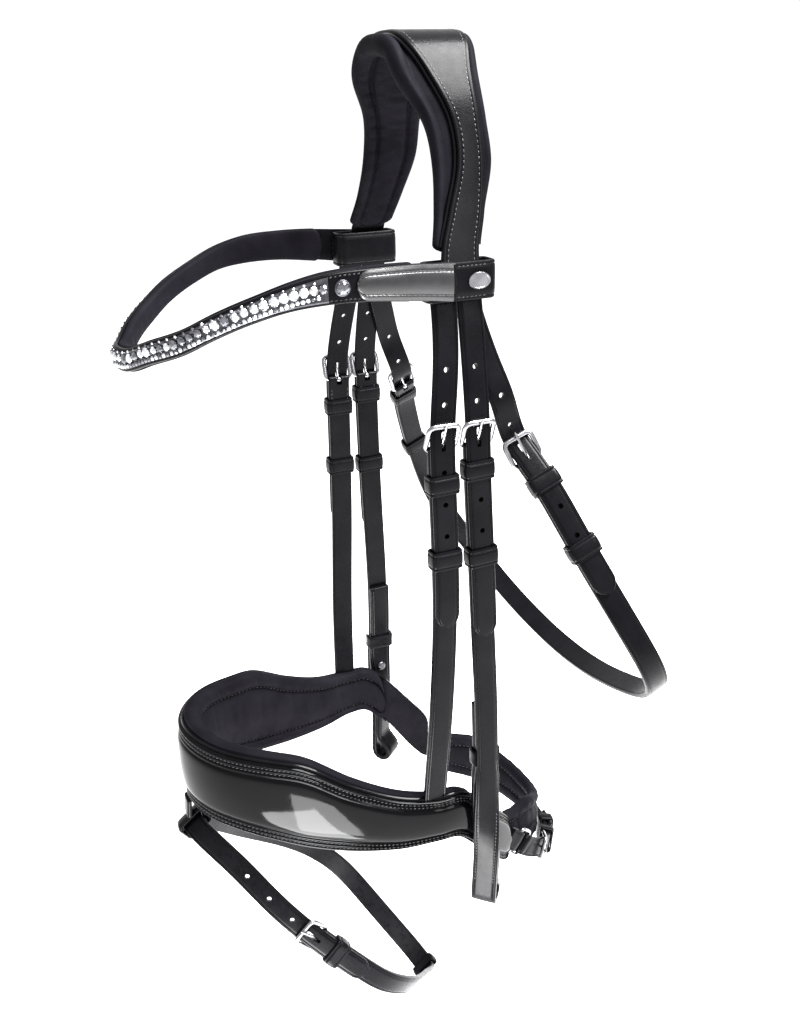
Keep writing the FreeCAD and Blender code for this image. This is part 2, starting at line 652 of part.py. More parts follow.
def noseband_parts():
    band = Band(NOSEBAND_SHAPE)
    shell = band.solid((0.0, SHELL))
    padding = band.solid(
        (SHELL + BACKING, lambda thickness: SHELL + thickness),
        RIM_RISE, RIM_DROP, 1 - PADDING_END, PADDING_END)
    pocket = NOSE_CHEEK.strap(
        NOSE_CHEEK.length - POCKET, NOSE_CHEEK.length + 1, (STRAP_LAYER[0] - 0.3, STRAP_LAYER[1] + 0.3),
        WIDTH + 0.6)
    padding = padding.cut(pocket).cut(mirrored(pocket))
    shell = shell.cut(pocket).cut(mirrored(pocket))
    return shell, padding


# ---- The assembly --------------------------------------------------------------------------------------
def build():
    """Every node's shape, by name."""
    nodes = {}
    crown = Crown()
    nodes["crown_strap"] = crown.solid(crown.leather, 0.0, CROWN_LEATHER, 1.0)
    nodes["crown_pad"] = crown.solid(crown.pad, CROWN_LEATHER + BACKING, None, CROWN_PAD_END)

    band = Band(BROWBAND_SHAPE)
    nodes["browband_strap"] = band.solid((0.0, BROWBAND_LEATHER))
    nodes["browband_lining"] = band.solid(
        (BROWBAND_LEATHER + LINING_GAP, BROWBAND_LEATHER + BROWBAND_LINING),
        -LINING_INSET, -LINING_INSET, 1 - LINING_END, LINING_END)
    stones = [
        on_band(band, stone(STONE, STONE_DEPTH), 0.5 + k * STONE_PITCH / band.length, TRIM_DEPTH + 0.1)
        for k in range(-STONES, STONES + 1)
    ]
    nodes["crystals"] = Part.makeCompound(stones)
    reach = (STONES + CHANNEL_OVERHANG) * STONE_PITCH
    span = reach / band.length
    nodes["crystal_channel"] = band.solid(
        (-TRIM_DEPTH, -TRIM_GAP), -CHANNEL_INSET, -CHANNEL_INSET,
        0.5 - span, 0.5 + span, CHANNEL_STATION)
    end_stones, patches = [], []
    setting = rod((0, 0, 0), (TRIM_DEPTH - 0.1, 0, 0), STONE + 1.1)
    for sign in (-1, 1):
        share = 0.5 + sign * (reach + END_STONE_GAP) / band.length
        end_stones.append(on_band(band, setting, share, 0.1))
        end_stones.append(on_band(band, stone(STONE + 0.5, STONE_DEPTH + 0.2), share, TRIM_DEPTH + 0.05))
        near, far = sorted((0.5 + sign * (reach + PATCH_GAP) / band.length, 0.5 + sign * PATCH_END))
        patches.append(band.solid((-PATCH_DEPTH, -TRIM_GAP), -PATCH_INSET, -PATCH_INSET, near, far))
    nodes["browband_end_stones"] = Part.makeCompound(end_stones)
    nodes["browband_patches"] = Part.makeCompound(patches)
    plate = oval_plate(*PLATE)
    plate.translate(Vector(LOOP_INSIDE[1] + LOOP_WALL + 0.05, -0.5, (LOOP_TOP + LOOP_BOTTOM) / 2))
    nodes["browband_plates"] = Part.makeCompound([plate, mirrored(plate)])

    shell, padding = noseband_parts()
    nodes["noseband_shell"] = shell
    nodes["noseband_padding"] = padding
    chin = Band(CHIN_PAD_SHAPE)
    nodes["chin_pad"] = chin.solid((-CHIN_PAD / 2, CHIN_PAD / 2))
    nodes["crank_billet"] = crank_billet()
    nodes["crank_strap"] = crank_strap()
    nodes["crank_buckle"] = CRANK.placed(buckle_frame(), CRANK_HEEL)
    nodes["crank_tongue"] = CRANK.placed(tongue(), CRANK_HEEL)
    layers = (STRAP_LAYER[0], BILLET_LAYER[1])
    short = CRANK_KEEPER_HEIGHT
    nodes["crank_fixed_keeper"] = CRANK.placed(keeper(*layers, height=short, slack=0.5), CRANK_FIXED_KEEPER)
    running = keeper(*layers, height=short, slack=0.8)
    nodes["crank_running_keeper"] = CRANK.placed(running, CRANK_RUNNING_KEEPER)

    nodes["flash_tab"] = flash_tab()
    nodes["flash_strap"] = flash_strap()
    nodes["flash_buckle"] = FLASH.placed(buckle_frame(), FLASH_HEEL)
    nodes["flash_tongue"] = FLASH.placed(tongue(), FLASH_HEEL)
    sewn = keeper(*layers, height=FLASH_KEEPER_HEIGHT)
    nodes["flash_fixed_keeper"] = FLASH.placed(sewn, FLASH_FIXED_KEEPER)
    height, slack = FLASH_BEND_KEEPER
    nodes["flash_running_keeper"] = FLASH.placed(
        keeper(*STRAP_LAYER, height=height, slack=slack), FLASH.length / 2)

    nodes["throatlash_strap"] = throatlash()
    fixed, moving = near_side_nodes()
    for name, shape in fixed.items():
        nodes[name] = Part.makeCompound([shape, mirrored(shape)])
    for name, pair in moving.items():
        nodes[name + "_near"] = pair[0]
        nodes[name + "_far"] = mirrored(pair[-1])
    return nodes


def near_side_nodes():
    """The near side's shapes: those that share a node with the far side's copy, and those that move alone."""
    layers = (STRAP_LAYER[0], BILLET_LAYER[1])
    gap = HINGE_GAP / 2
    fixed = {
        "browband_loops": browband_loop(),
        "noseband_billets": billet(NOSE_CHEEK, 0.0, NOSE_TIP, CHEEK_HEEL),
        "noseband_cheeks": noseband_cheek(),
        "billet_roots": Part.makeCompound([
            CHEEKPIECE.strap(0.0, CHEEK_HINGE - gap, BILLET_LAYER),
            THROAT.strap(6.0, THROAT_HINGE - gap, BILLET_LAYER),
        ]),
        "throat_billets": billet(THROAT, THROAT_HINGE + gap, THROAT_TIP, THROAT_HEEL),
        "noseband_buckles": NOSE_CHEEK.placed(buckle_frame(), CHEEK_HEEL),
        "throat_buckles": THROAT.placed(buckle_frame(), THROAT_HEEL),
        "noseband_fixed_keepers": NOSE_CHEEK.placed(keeper(*layers), NOSE_FIXED_KEEPER),
        "throat_fixed_keepers": THROAT.placed(keeper(*layers, slack=0.6), THROAT_FIXED_KEEPER),
        "crank_rings": CRANK.placed(crank_ring(), 0.0),
        "crank_tabs": CRANK.placed(ring_tab(), 0.0),
    }
    loose = keeper(*layers, slack=0.5)
    moving = {
        "cheek_billet": [billet(CHEEKPIECE, CHEEK_HINGE + gap, CHEEK_TIP, CHEEK_HEEL)],
        "cheekpiece": [cheekpiece()],
        "cheek_buckle": [CHEEKPIECE.placed(buckle_frame(), CHEEK_HEEL)],
        "cheek_fixed_keeper": [CHEEKPIECE.placed(keeper(*layers), CHEEK_FIXED_KEEPER)],
        "hook_stud": [CHEEKPIECE.placed(hook_stud(), HOOK_STUD)],
        "bit_keeper": [CHEEKPIECE.placed(bit_keeper(), BIT_KEEPER[side]) for side in ("near", "far")],
        "noseband_keeper": [NOSE_CHEEK.placed(loose, NOSE_RUNNING_KEEPER)],
        "cheek_keeper": [CHEEKPIECE.placed(loose, CHEEK_RUNNING_KEEPER)],
        "throat_keeper": [THROAT.placed(loose, THROAT_RUNNING_KEEPER[side]) for side in ("near", "far")],
        "noseband_tongue": [NOSE_CHEEK.placed(tongue(), CHEEK_HEEL)],
        "cheek_tongue": [CHEEKPIECE.placed(tongue(), CHEEK_HEEL)],
        "throat_tongue": [THROAT.placed(tongue(), THROAT_HEEL)],
    }
    return fixed, moving


os.makedirs("parts", exist_ok=True)
for name, shape in build().items():
    shape.exportStep(os.path.join("parts", name + ".step"))
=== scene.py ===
import math
import random

import bmesh
import bpy
import numpy as np
from mathutils import Matrix, Vector


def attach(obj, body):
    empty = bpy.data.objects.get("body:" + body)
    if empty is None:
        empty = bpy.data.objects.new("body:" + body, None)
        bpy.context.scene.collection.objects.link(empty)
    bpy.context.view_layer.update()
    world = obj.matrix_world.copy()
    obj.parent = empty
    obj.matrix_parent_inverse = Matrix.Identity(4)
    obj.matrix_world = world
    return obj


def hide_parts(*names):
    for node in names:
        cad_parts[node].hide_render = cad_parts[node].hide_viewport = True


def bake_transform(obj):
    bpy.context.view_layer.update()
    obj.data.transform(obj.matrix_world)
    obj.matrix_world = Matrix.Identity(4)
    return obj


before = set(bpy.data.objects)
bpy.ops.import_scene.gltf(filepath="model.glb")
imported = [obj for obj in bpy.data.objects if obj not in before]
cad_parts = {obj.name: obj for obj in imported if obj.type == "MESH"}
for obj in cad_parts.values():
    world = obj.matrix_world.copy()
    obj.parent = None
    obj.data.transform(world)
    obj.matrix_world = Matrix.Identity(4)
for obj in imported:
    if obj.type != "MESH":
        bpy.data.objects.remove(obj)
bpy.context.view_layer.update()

# Looks of the snaffle bridle. Pieces are drawn in millimetres and turned into metres when they are made. The
# floor, the lights' sizes and distances and the camera's place are in metres. Axes and strap routes are the
# CAD part's own: +Z up, -Y towards the nose, +X the near side.
METRES = 0.001
random.seed(7)
noise = np.random.default_rng(7)

# ---- Sizes shared with the CAD part ----------------------------------------------------------------------
WIDTH, BIT_END_WIDTH = 13.5, 15.0
BILLET_LAYER, STRAP_LAYER, TAIL_LAYER = (0.2, 2.6), (-3.6, -0.2), (-7.2, -4.0)
SLACK, KEEPER_WALL, KEEPER_HEIGHT = 0.35, 1.15, 10.2
HEEL_X, TOP_X, SIDE_Y, BUCKLE_REACH = -1.9, 3.95, 8.1, 13.0
HOLE, HOLE_PITCH, FLASH_HOLE_PITCH = 1.4, 17.0, 19.0
CHEEK_HEEL, THROAT_HEEL, FLASH_HEEL, CRANK_HEEL = 89.0, 104.0, 108.0, 30.0
BIT_END_TOP, BIT_END_TWIST, TAIL_TIP, HOOK_STUD = 284.0, (292.0, 350.0, -42.0), 240.0, 304.0
EYE, EYE_DROP = 4.0, 11.0
CROWN_LEATHER, CROWN_PAD_NEAR = 2.6, 2.85
CROWN_PAD_END, PADDING_END = 0.885, 0.93
STONES, STONE_PITCH = 21, 5.6
LOOP_LOW, LOOP_HIGH, LOOP_WALL = (56.9, -25.4, -109.8), (65.9, 7.4, -91.2), 2.0
RING_REACH, RING_SIDE, RING_WIRE = 9.0, 8.55, 1.2

# ---- Places along the straps' routes, and other sizes of the looks ------------------------------------
FOLD = 2.2                                      # a strap's fold stands this far above its buckle's heel bar
FORK = 3.0                                      # the slot for the tongue's eye ends this far below it
SEAM_ACROSS, SEAM_START = 5.1, 5                # a seam's place across its strap, and its start below the bar
NOSE_SEAM_END, CHEEK_SEAM_END, THROAT_SEAM_END = 104.0, 98.0, 115.0
NOSE_BILLET, CHEEK_BILLET, THROAT_BILLET = 186.0, 196.0, 184.0
NOSE_KEEPERS, CHEEK_KEEPERS = (106.6, 147.0), (101.0, 148.8)
THROAT_KEEPERS = {"near": (117.5, 157.0), "far": (117.5, 172.0)}
BIT_KEEPER = {"near": 275.0, "far": 283.0}
CRANK_KEEPERS, FLASH_KEEPER, RUNNING_SLACK = (41.0, 58.0), 121.5, 0.5
CHEEK_HINGE, THROAT_HINGE, BEND_REACH = -116.0, -117.0, 8     # billets bend this far above and below a hinge
THIN_LAYER = (-0.85, 0.85)                      # leather folded round a ring
PAD_NEAR = 3.3                                  # from the noseband's face to its padding
CHANNEL_END, PATCH_START = 0.7, 13.5            # pitches past the last stone, and millimetres past that
FLOOR_LEVEL, FLOOR_HALF = -0.70, 9
CAMERA_PLACE, CAMERA_TURN, CAMERA_ROLL = (0.5073, -0.2296, -0.011), (1.17229, 0.39673), -0.024357
CAMERA_LENS, CAMERA_FILM = 36.16, 36.0
LIGHTS = [  # name, target in millimetres, azimuth, elevation, distance, size, radiance
    ("overhead", (0, 30, -120), 146, 60, 1.6, (1.2, 0.85), 60),
    ("side", (60, -60, -105), 116, 24, 1.5, (0.3, 0.4), 10),
    ("bit_end", (84, 0, -455), 35, -38, 0.3, (0.12, 0.16), 42),
    ("window", (66, -100, -420), 67, -39, 0.36, (0.12, 0.15), 30),
]

NOSE_CHEEK_POINTS = [
    (57.4, -17.4, -94.5), (62, -17.4, -112), (65, -18, -123), (70.5, -20.7, -145), (74.3, -24.1, -172),
    (76.7, -24.5, -205), (78.8, -24.4, -240), (80, -24.7, -270), (80.5, -26, -305), (79.5, -28, -346),
    (76.9, -29.5, -380), (75.8, -30, -396), (75.6, -30, -414),
]
CHEEKPIECE_POINTS = [
    (57.4, -3.4, -94.5), (62, -3.4, -112), (65, -3.8, -123), (70.5, -4.6, -145), (75.5, -5.3, -172),
    (77.6, -5, -205), (79.4, -4, -240), (80.8, -2.5, -284), (82.2, -1, -326), (84.2, -0.8, -370),
    (85.5, -1.5, -400), (85.7, -2.5, -430), (85.4, -3.5, -456),
]
THROAT_POINTS = [
    (55.9, -4.5, -98), (58.9, -3.6, -110), (63, 0.5, -128), (67.4, 5.6, -145), (71.2, 10.5, -160),
    (72.6, 18.9, -183.7), (78.9, 21.4, -190), (83, 23, -194), (88.5, 25.2, -199.4), (104, 35, -224),
    (118, 47, -252), (130, 60, -280), (134, 69, -298), (127, 80, -318), (108, 88, -334), (80, 92, -346),
    (40, 96.5, -358), (0, 98, -362),
]
FLASH_POINTS = [
    (0, -156, -420), (3, -155.9, -420.15), (7, -154.2, -422.1), (12.5, -149, -428.6),
    (23, -136.5, -444), (38, -120, -466), (52, -100, -489), (62.5, -78, -512), (66, -62, -529),
    (61, -47, -545), (47, -33, -564), (25, -17, -587), (0, -4, -606),
]
CRANK_POINTS = [(53.5, 42, -468), (49, 54, -478), (39, 68, -487), (21, 79, -493), (0, 83, -495)]
BROWBAND_SHAPE = [
    (0, -166, -127.5, -139), (12, -163, -127, -138.5), (28, -155, -121.5, -132.5), (44, -143, -115, -126),
    (55, -129, -107, -118), (63, -113, -100, -111), (69.5, -97, -94, -106), (72.5, -79, -90, -104),
    (73.4, -60, -89, -104), (72.6, -40, -89.2, -106), (70.6, -24, -90.2, -108), (70.4, -13, -91, -109.5),
]
NOSEBAND_SHAPE = [
    (0, -157.5, -352, -401, 10.5), (20, -152.5, -353, -402, 10.5), (37, -139.5, -355, -404, 10.5),
    (49, -120, -358.5, -410, 10.5), (57.5, -101, -363, -416, 10.0), (66, -76.5, -378, -421, 9.5),
    (73, -52, -389, -423, 9.0), (77.8, -29, -393, -421.5, 8.0), (77.6, -14, -394, -423.5, 7.5),
    (74, 0, -404, -438, 7.5), (68, 14, -420, -457, 7.0), (64, 21.3, -428.5, -465.5, 6.3),
    (60.4, 27.6, -435, -471.5, 5.4),
]
CHIN_PAD_SHAPE = [
    (0, 73, -463, -490), (21, 67.5, -458, -488), (36.6, 52.8, -447, -482), (44.5, 38.7, -445, -478),
    (50, 25.8, -441, -474),
]
CROWN_SHAPE = [
    (0, 11.85, -19, 18, -27, 25, 9), (20, 8.5, -18, 16.6, -26.5, 21.5, 9),
    (34, -6.5, -11, 12.2, -25, 18, 8.5), (44, -27.5, -3, 11.6, -15.5, 17.3, 6.8),
    (50, -48, -2.8, 11.4, -13.7, 17.2, 5.8), (55, -69, -9.5, 8.4, -16, 11, 4.2),
    (60.4, -86, -16, 3.6, -20, 6, 2.8), (64.5, -100, -18, 2.6, -22, 4, 2.2),
    (65.4, -103, -18, 2.6, -22, 4, 2.2),
]


# ---- Lines: where straps and bands run -------------------------------------------------------------------
def unit(vectors):
    return vectors / np.linalg.norm(vectors, axis=-1, keepdims=True)


def marks_along(places):
    """The distance of each place along a line of places."""
    return np.concatenate([[0], np.cumsum(np.linalg.norm(np.diff(places, axis=0), axis=1))])


def looked_up(at, marks, table):
    """The rows of a table at distances between its marks."""
    return np.stack([np.interp(at, marks, table[:, k]) for k in range(3)], axis=-1)


def end_slope(knots, points):
    """Slope at the first knot of the cubic through four points."""
    slope = 0.0
    for j in range(4):
        others = [k for k in range(4) if k != j]
        below = math.prod(knots[j] - knots[k] for k in others)
        above = sum(math.prod(knots[0] - knots[k] for k in others if k != i) for i in others)
        slope = slope + points[j] * (above / below)
    return slope


class Spline:
    """A smooth line through points: a cubic spline whose end slopes come from the four points at each end."""

    def __init__(self, points, knots=None):
        self.points = np.array(points, float)
        self.knots = np.array(marks_along(self.points) if knots is None else knots, float)
        gap, count = np.diff(self.knots), len(self.knots)
        matrix, right = np.zeros((count, count)), np.zeros_like(self.points)
        matrix[0, 0] = matrix[-1, -1] = 1
        right[0] = end_slope(self.knots[:4], self.points[:4])
        right[-1] = end_slope(self.knots[::-1][:4], self.points[::-1][:4])
        for k in range(1, count - 1):
            matrix[k, k - 1:k + 2] = 1 / gap[k - 1], 2 / gap[k - 1] + 2 / gap[k], 1 / gap[k]
            right[k] = 3 * ((self.points[k] - self.points[k - 1]) / gap[k - 1] ** 2
                            + (self.points[k + 1] - self.points[k]) / gap[k] ** 2)
        self.slopes = np.linalg.solve(matrix, right)

    def at(self, where):
        where = np.asarray(where, float)
        k = np.clip(np.searchsorted(self.knots, where, side="right") - 1, 0, len(self.knots) - 2)
        gap = (self.knots[k + 1] - self.knots[k])[..., None]
        t = (where - self.knots[k])[..., None] / gap
        return (self.points[k] * (2 * t**3 - 3 * t**2 + 1) + self.slopes[k] * gap * (t**3 - 2 * t**2 + t)
                + self.points[k + 1] * (3 * t**2 - 2 * t**3) + self.slopes[k + 1] * gap * (t**3 - t**2))


class Rows(Spline):
    """Rows of sizes, joined with slopes taken from the neighbouring rows."""

    def __init__(self, rows, knots):
        self.points, self.knots = np.array(rows, float), np.array(knots, float)
        low = np.maximum(np.arange(len(rows)) - 1, 0)
        high = np.minimum(np.arange(len(rows)) + 1, len(rows) - 1)
        self.slopes = (self.points[high] - self.points[low]) / (self.knots[high] - self.knots[low])[:, None]


class Line:
    """A line with a frame at each distance along it: place, outward and across."""

    def __init__(self, places, outward, across):
        self.places, self.outward, self.across = places, unit(outward), unit(across)
        self.marks = marks_along(places)
        self.length = self.marks[-1]

    def frames(self, distance):
        distance = np.asarray(distance, float)
        place, outward, across = (
            looked_up(distance, self.marks, table) for table in (self.places, self.outward, self.across))
        return place, unit(outward), unit(across)

    def point(self, distance, across=0.0, height=0.0):
        place, outward, side = self.frames(distance)
        return place + side * np.asarray(across)[..., None] + outward * np.asarray(height)[..., None]

    def matrix(self, distance):
        """Rotation (columns outward, across, up) and place at one distance."""
        place, outward, across = self.frames(distance)
        return np.stack([outward, across, np.cross(outward, across)], axis=1), place


def along_points(points, across, twist=(0.0, 1.0, 0.0), samples=1200):
    """The line of a strap route whose width lies along a fixed direction, with an optional twist."""
    spline = Spline(points)
    places = spline.at(np.linspace(0, spline.knots[-1], samples))
    travel = unit(np.gradient(places, axis=0))
    across = np.array(across, float) / np.linalg.norm(across)
    across = unit(across - travel * (travel @ across)[:, None])
    share = np.clip((marks_along(places) - twist[0]) / (twist[1] - twist[0]), 0, 1)
    turn = np.radians(twist[2]) * share * share * (3 - 2 * share)
    across = across * np.cos(turn)[:, None] + np.cross(-travel, across) * np.sin(turn)[:, None]
    return Line(places, np.cross(across, -travel), across)


def there_and_back(points):
    """A near half followed by its mirror image."""
    return list(points) + [(-p[0], *p[1:]) for p in reversed(points[:-1])]


def whole(shape):
    """Rows from the middle to the near end, widened to rows from the far end to the near end."""
    return [(-row[0], *row[1:]) for row in reversed(shape[1:])] + list(shape)


def knots_along(rows):
    steps = [math.dist(a[:2], b[:2]) for a, b in zip(rows, rows[1:])]
    return [sum(steps[:k]) / sum(steps) for k in range(len(rows))], sum(steps)


class Band:
    """A shaped band along a plan curve, or along an arch that stands in the plane y = 0."""

    def __init__(self, shape, arch=False):
        rows = whole(shape)
        knots, self.length = knots_along(rows)
        self.plan = Spline([row[:2] for row in rows], knots)
        self.sizes = Rows([row[2:] for row in rows], knots)
        self.arch = arch

    def frames(self, share):
        """Places on the curve, outward directions and sizes."""
        share = np.asarray(share, float)
        flat = self.plan.at(share)
        travel = self.plan.at(share + 1e-4) - self.plan.at(share - 1e-4)
        turned = np.stack([travel[..., 1], -travel[..., 0]], axis=-1) * (-1 if self.arch else 1)
        places, outward = (np.insert(table, 1 if self.arch else 2, 0.0, axis=-1) for table in (flat, turned))
        return places, unit(outward), self.sizes.at(share)


# ---- Skins: meshes made of grids -------------------------------------------------------------------------
class Skin:
    """Points and faces that become one piece. A mark is the face's place in the material list."""

    def __init__(self, mirror=False):
        self.points, self.faces, self.marks, self.count, self.mirror = [], [], [], 0, mirror

    def add(self, points):
        points = np.array(points, float).reshape(-1, 3)
        if self.mirror:
            points = points * (-1, 1, 1)
        self.points.append(points)
        self.count += len(points)
        return self.count - len(points)

    def face(self, corners, mark=0):
        self.faces.append(corners)
        self.marks.append(mark)

    def grid(self, points, mark=0, round_columns=True, round_rows=False, caps=True):
        """A grid of points, shape (rows, columns, 3)."""
        rows, columns = points.shape[:2]
        ids = self.add(points) + np.arange(rows * columns).reshape(rows, columns)
        for i in range(rows if round_rows else rows - 1):
            for j in range(columns if round_columns else columns - 1):
                a, b = (i + 1) % rows, (j + 1) % columns
                self.face((ids[i, j], ids[i, b], ids[a, b], ids[a, j]), mark)
        if caps and round_columns and not round_rows:
            for row in (0, rows - 1):
                centre = self.add(points[row].mean(axis=0))
                for j in range(columns):
                    self.face((ids[row, j], ids[row, (j + 1) % columns], centre), mark)

    def copies(self, shape, faces, places, x, y, z, mark=0):
        """Copies of a small template, each placed with its own axes."""
        shape = np.array(shape, float)
        points = (places[:, None] + shape[None, :, :1] * x[:, None] + shape[None, :, 1:2] * y[:, None]
                  + shape[None, :, 2:3] * z[:, None])
        first = self.add(points)
        for k in range(len(places)):
            for corners in faces:
                self.face(tuple(first + k * len(shape) + c for c in corners), mark)

    def mesh(self, name, sharp):
        mesh = bpy.data.meshes.new(name)
        mesh.from_pydata(np.concatenate(self.points) * METRES, [], [[int(c) for c in f] for f in self.faces])
        mesh.polygons.foreach_set("material_index", self.marks)
        shaped = bmesh.new()
        shaped.from_mesh(mesh)
        bmesh.ops.recalc_face_normals(shaped, faces=shaped.faces)
        shaped.to_mesh(mesh)
        shaped.free()
        mesh.polygons.foreach_set("use_smooth", [True] * len(mesh.polygons))
        mesh.set_sharp_from_angle(angle=math.radians(sharp))
        return mesh


def piece(skin, name, materials, body=None, stands_for=(), sharp=42):
    """Makes the object. bend, given to leather_piece as (body above, body below, z of the hinge), is not
    used.
    """
    made = bpy.data.objects.new(name, skin.mesh(name, sharp))
    bpy.context.scene.collection.objects.link(made)
    for material in materials:
        made.data.materials.append(material)
    if body:
        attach(made, body)
    else:
        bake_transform(made)
    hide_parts(*stands_for)


def leather_piece(skin, name, body, *nodes, bend=None):
    piece(skin, name, LEATHER_SET, body, stands_for=nodes)


def padding_piece(skin, name, body, node):
    piece(skin, name, [PADDING, THREAD], body, stands_for=[node], sharp=60)


BEAD = [(-1, 0, 0), (1, 0, 0)] + [
    (side * 0.55, math.cos(a), math.sin(a)) for side in (-1, 1) for a in np.linspace(0, 2 * math.pi, 7)[:6]
]
BEAD_FACES = (
    [(0, 2 + k, 2 + (k + 1) % 6) for k in range(6)] + [(1, 8 + (k + 1) % 6, 8 + k) for k in range(6)]
    + [(2 + k, 8 + k, 8 + (k + 1) % 6, 2 + (k + 1) % 6) for k in range(6)]
)


def stitches(skin, places, normal, mark, length=1.75, width=0.62, pitch=2.5):
    """Thread stitches evenly along a dense line of places."""
    steps = marks_along(places)
    count = max(1, int(steps[-1] / pitch))
    at = (np.arange(count) + 0.5) * steps[-1] / count
    centre, up = looked_up(at, steps, places), unit(looked_up(at, steps, normal))
    ahead = looked_up(at + 0.4, steps, places) - centre
    behind = centre - looked_up(at - 0.4, steps, places)
    along = unit(ahead + behind)
    side = unit(np.cross(up, along))
    lean = unit(along + side * 0.10)
    skin.copies(BEAD, BEAD_FACES, centre + up * 0.05, lean * length / 2, side * width / 2, up * 0.34, mark)


def ring_through(points, per=4):
    """A closed smooth ring through control points: array (..., points, 2) to (..., points * per, 2)."""
    points = np.asarray(points, float)
    t = (np.arange(per) / per)[:, None]
    before, after, beyond = (np.roll(points, k, axis=-2)[..., :, None, :] for k in (1, -1, -2))
    here = points[..., :, None, :]
    ring = 0.5 * (2 * here + (after - before) * t + (2 * before - 5 * here + 4 * after - beyond) * t**2
                  + (3 * here - before - 3 * after + beyond) * t**3)
    return ring.reshape(*points.shape[:-2], -1, 2)


def swept(places, u_axis, v_axis, rings):
    """Points of rings (rows, columns, 2) carried along places."""
    return places[:, None] + rings[..., :1] * u_axis[:, None] + rings[..., 1:] * v_axis[:, None]


def circle(radius, count=10, squash=1.0):
    angle = np.linspace(0, 2 * math.pi, count + 1)[:-1]
    return np.stack([radius * np.cos(angle), radius * squash * np.sin(angle)], axis=-1)


def rounded(corners, radius, closed=True, steps=6):
    """A polyline whose corners are rounded."""
    corners = np.array(corners, float)
    path = []
    for k in range(len(corners)):
        if not closed and k in (0, len(corners) - 1):
            path.append(corners[k])
            continue
        before, here, after = corners[k - 1], corners[k], corners[(k + 1) % len(corners)]
        reach = min(radius, 0.49 * math.dist(before, here), 0.49 * math.dist(here, after))
        start = here + (before - here) / math.dist(before, here) * reach
        end = here + (after - here) / math.dist(after, here) * reach
        for t in np.linspace(0, 1, steps):
            path.append(start * (1 - t) ** 2 + here * 2 * t * (1 - t) + end * t**2)
    return np.array(path)


def wire(skin, path, radius, normal, closed=True, squash=1.0, mark=0, count=12):
    """A round bar along a path. The radius may change along it."""
    if closed:
        travel = np.roll(path, -1, axis=0) - np.roll(path, 1, axis=0)
    else:
        travel = np.gradient(path, axis=0)
    normal = np.broadcast_to(np.array(normal, float), path.shape)
    side = unit(np.cross(normal, travel))
    up = unit(np.cross(travel, side))
    rings = circle(1.0, count, squash)[None] * np.broadcast_to(radius, (len(path),))[:, None, None]
    skin.grid(swept(path, side, up, rings), mark, round_rows=closed)


def placed(points, matrix):
    """Points made round the origin (x outward, y across, z up), put in a frame."""
    turn, place = matrix
    points = np.asarray(points, float)
    return (points.reshape(-1, 3) @ turn.T + place).reshape(points.shape)


# ---- Leather straps --------------------------------------------------------------------------------------
INNER = (3.7, 2.6, 1.4, 0.7)        # columns of a strap's face, from its middle
HOLE_COLUMNS = 5                    # the columns from -1.4 to 1.4, which a hole replaces
POINT = 8.4                         # length of a billet's point


def half_columns(thickness, crease):
    """Offset from the edge, height of the upper face and height of the lower face, from the edge inwards."""
    half = thickness / 2
    curve = min(0.85, half)
    columns = [(0.0, 0.0, 0.0), (0.0, half - curve, half - curve)]
    for degrees in (30, 60, 90):
        turn = math.radians(degrees)
        height = half - curve + curve * math.sin(turn)
        columns.append((curve * (1 - math.cos(turn)), height, height))
    for offset, sink in ((-0.4, -0.05), (0.0, 0.26), (0.4, -0.07)):
        columns.append((crease + offset, half - sink, half))
    return columns


def strap_rows(start, end, holes, fork, ends, soft, step):
    """The distances at which a strap has a row of points: closer at its ends and round its holes."""
    rows = set(np.round(np.arange(start + step, end - step / 2, step), 3))
    for first, last, radius in holes:
        rows = {d for d in rows if not first - 1.2 < d < last + 1.2}
        rows |= {first - 1.3, first, first + radius / 2, first + radius}
        rows |= {last - radius, last - radius / 2, last, last + 1.3}
        rows |= set(np.arange(first + radius + 2.5, last - radius - 1, 2.5))
    for which, sign in ((0, 1), (1, -1)):
        tip = (start, end)[which]
        kind = ends[which]
        reach = {"point": POINT, "fold": soft, "square": 0.5, "cut": 0.0}[kind]
        rows = {d for d in rows if not 0 <= (d - tip) * sign < reach}
        rows |= {tip + sign * reach * (1 - math.sin(math.radians(a))) for a in np.linspace(0, 90, 8)}
    if fork is not None:
        rows = {d for d in rows if abs(d - fork) > 0.5} | {fork}
    rows = np.array(sorted(rows))
    return rows[np.concatenate([[True], np.diff(rows) > 1e-3])]


def end_sizes(rows, start, end, ends, soft):
    """Each row's share of the strap's width and thickness, less at the ends."""
    width, slim = np.ones_like(rows), np.ones_like(rows)
    for which in (0, 1):
        away = np.abs(rows - (start, end)[which])
        if ends[which] == "point":
            share = np.clip(1 - away / POINT, 0, 1)
            width *= np.maximum((1 - share**2.4) ** 0.55, 0.02)
            slim *= 1 - 0.25 * share**3
        elif ends[which] == "fold":
            slim *= np.sqrt(np.clip(1 - (1 - np.minimum(away / soft, 1)) ** 2, 0.002, 1))
        elif ends[which] == "square":
            inset = np.clip(1 - away / 0.5, 0, 1)
            slim *= 1 - 0.45 * inset**2
            width *= 1 - 0.05 * inset**2
    return width, slim


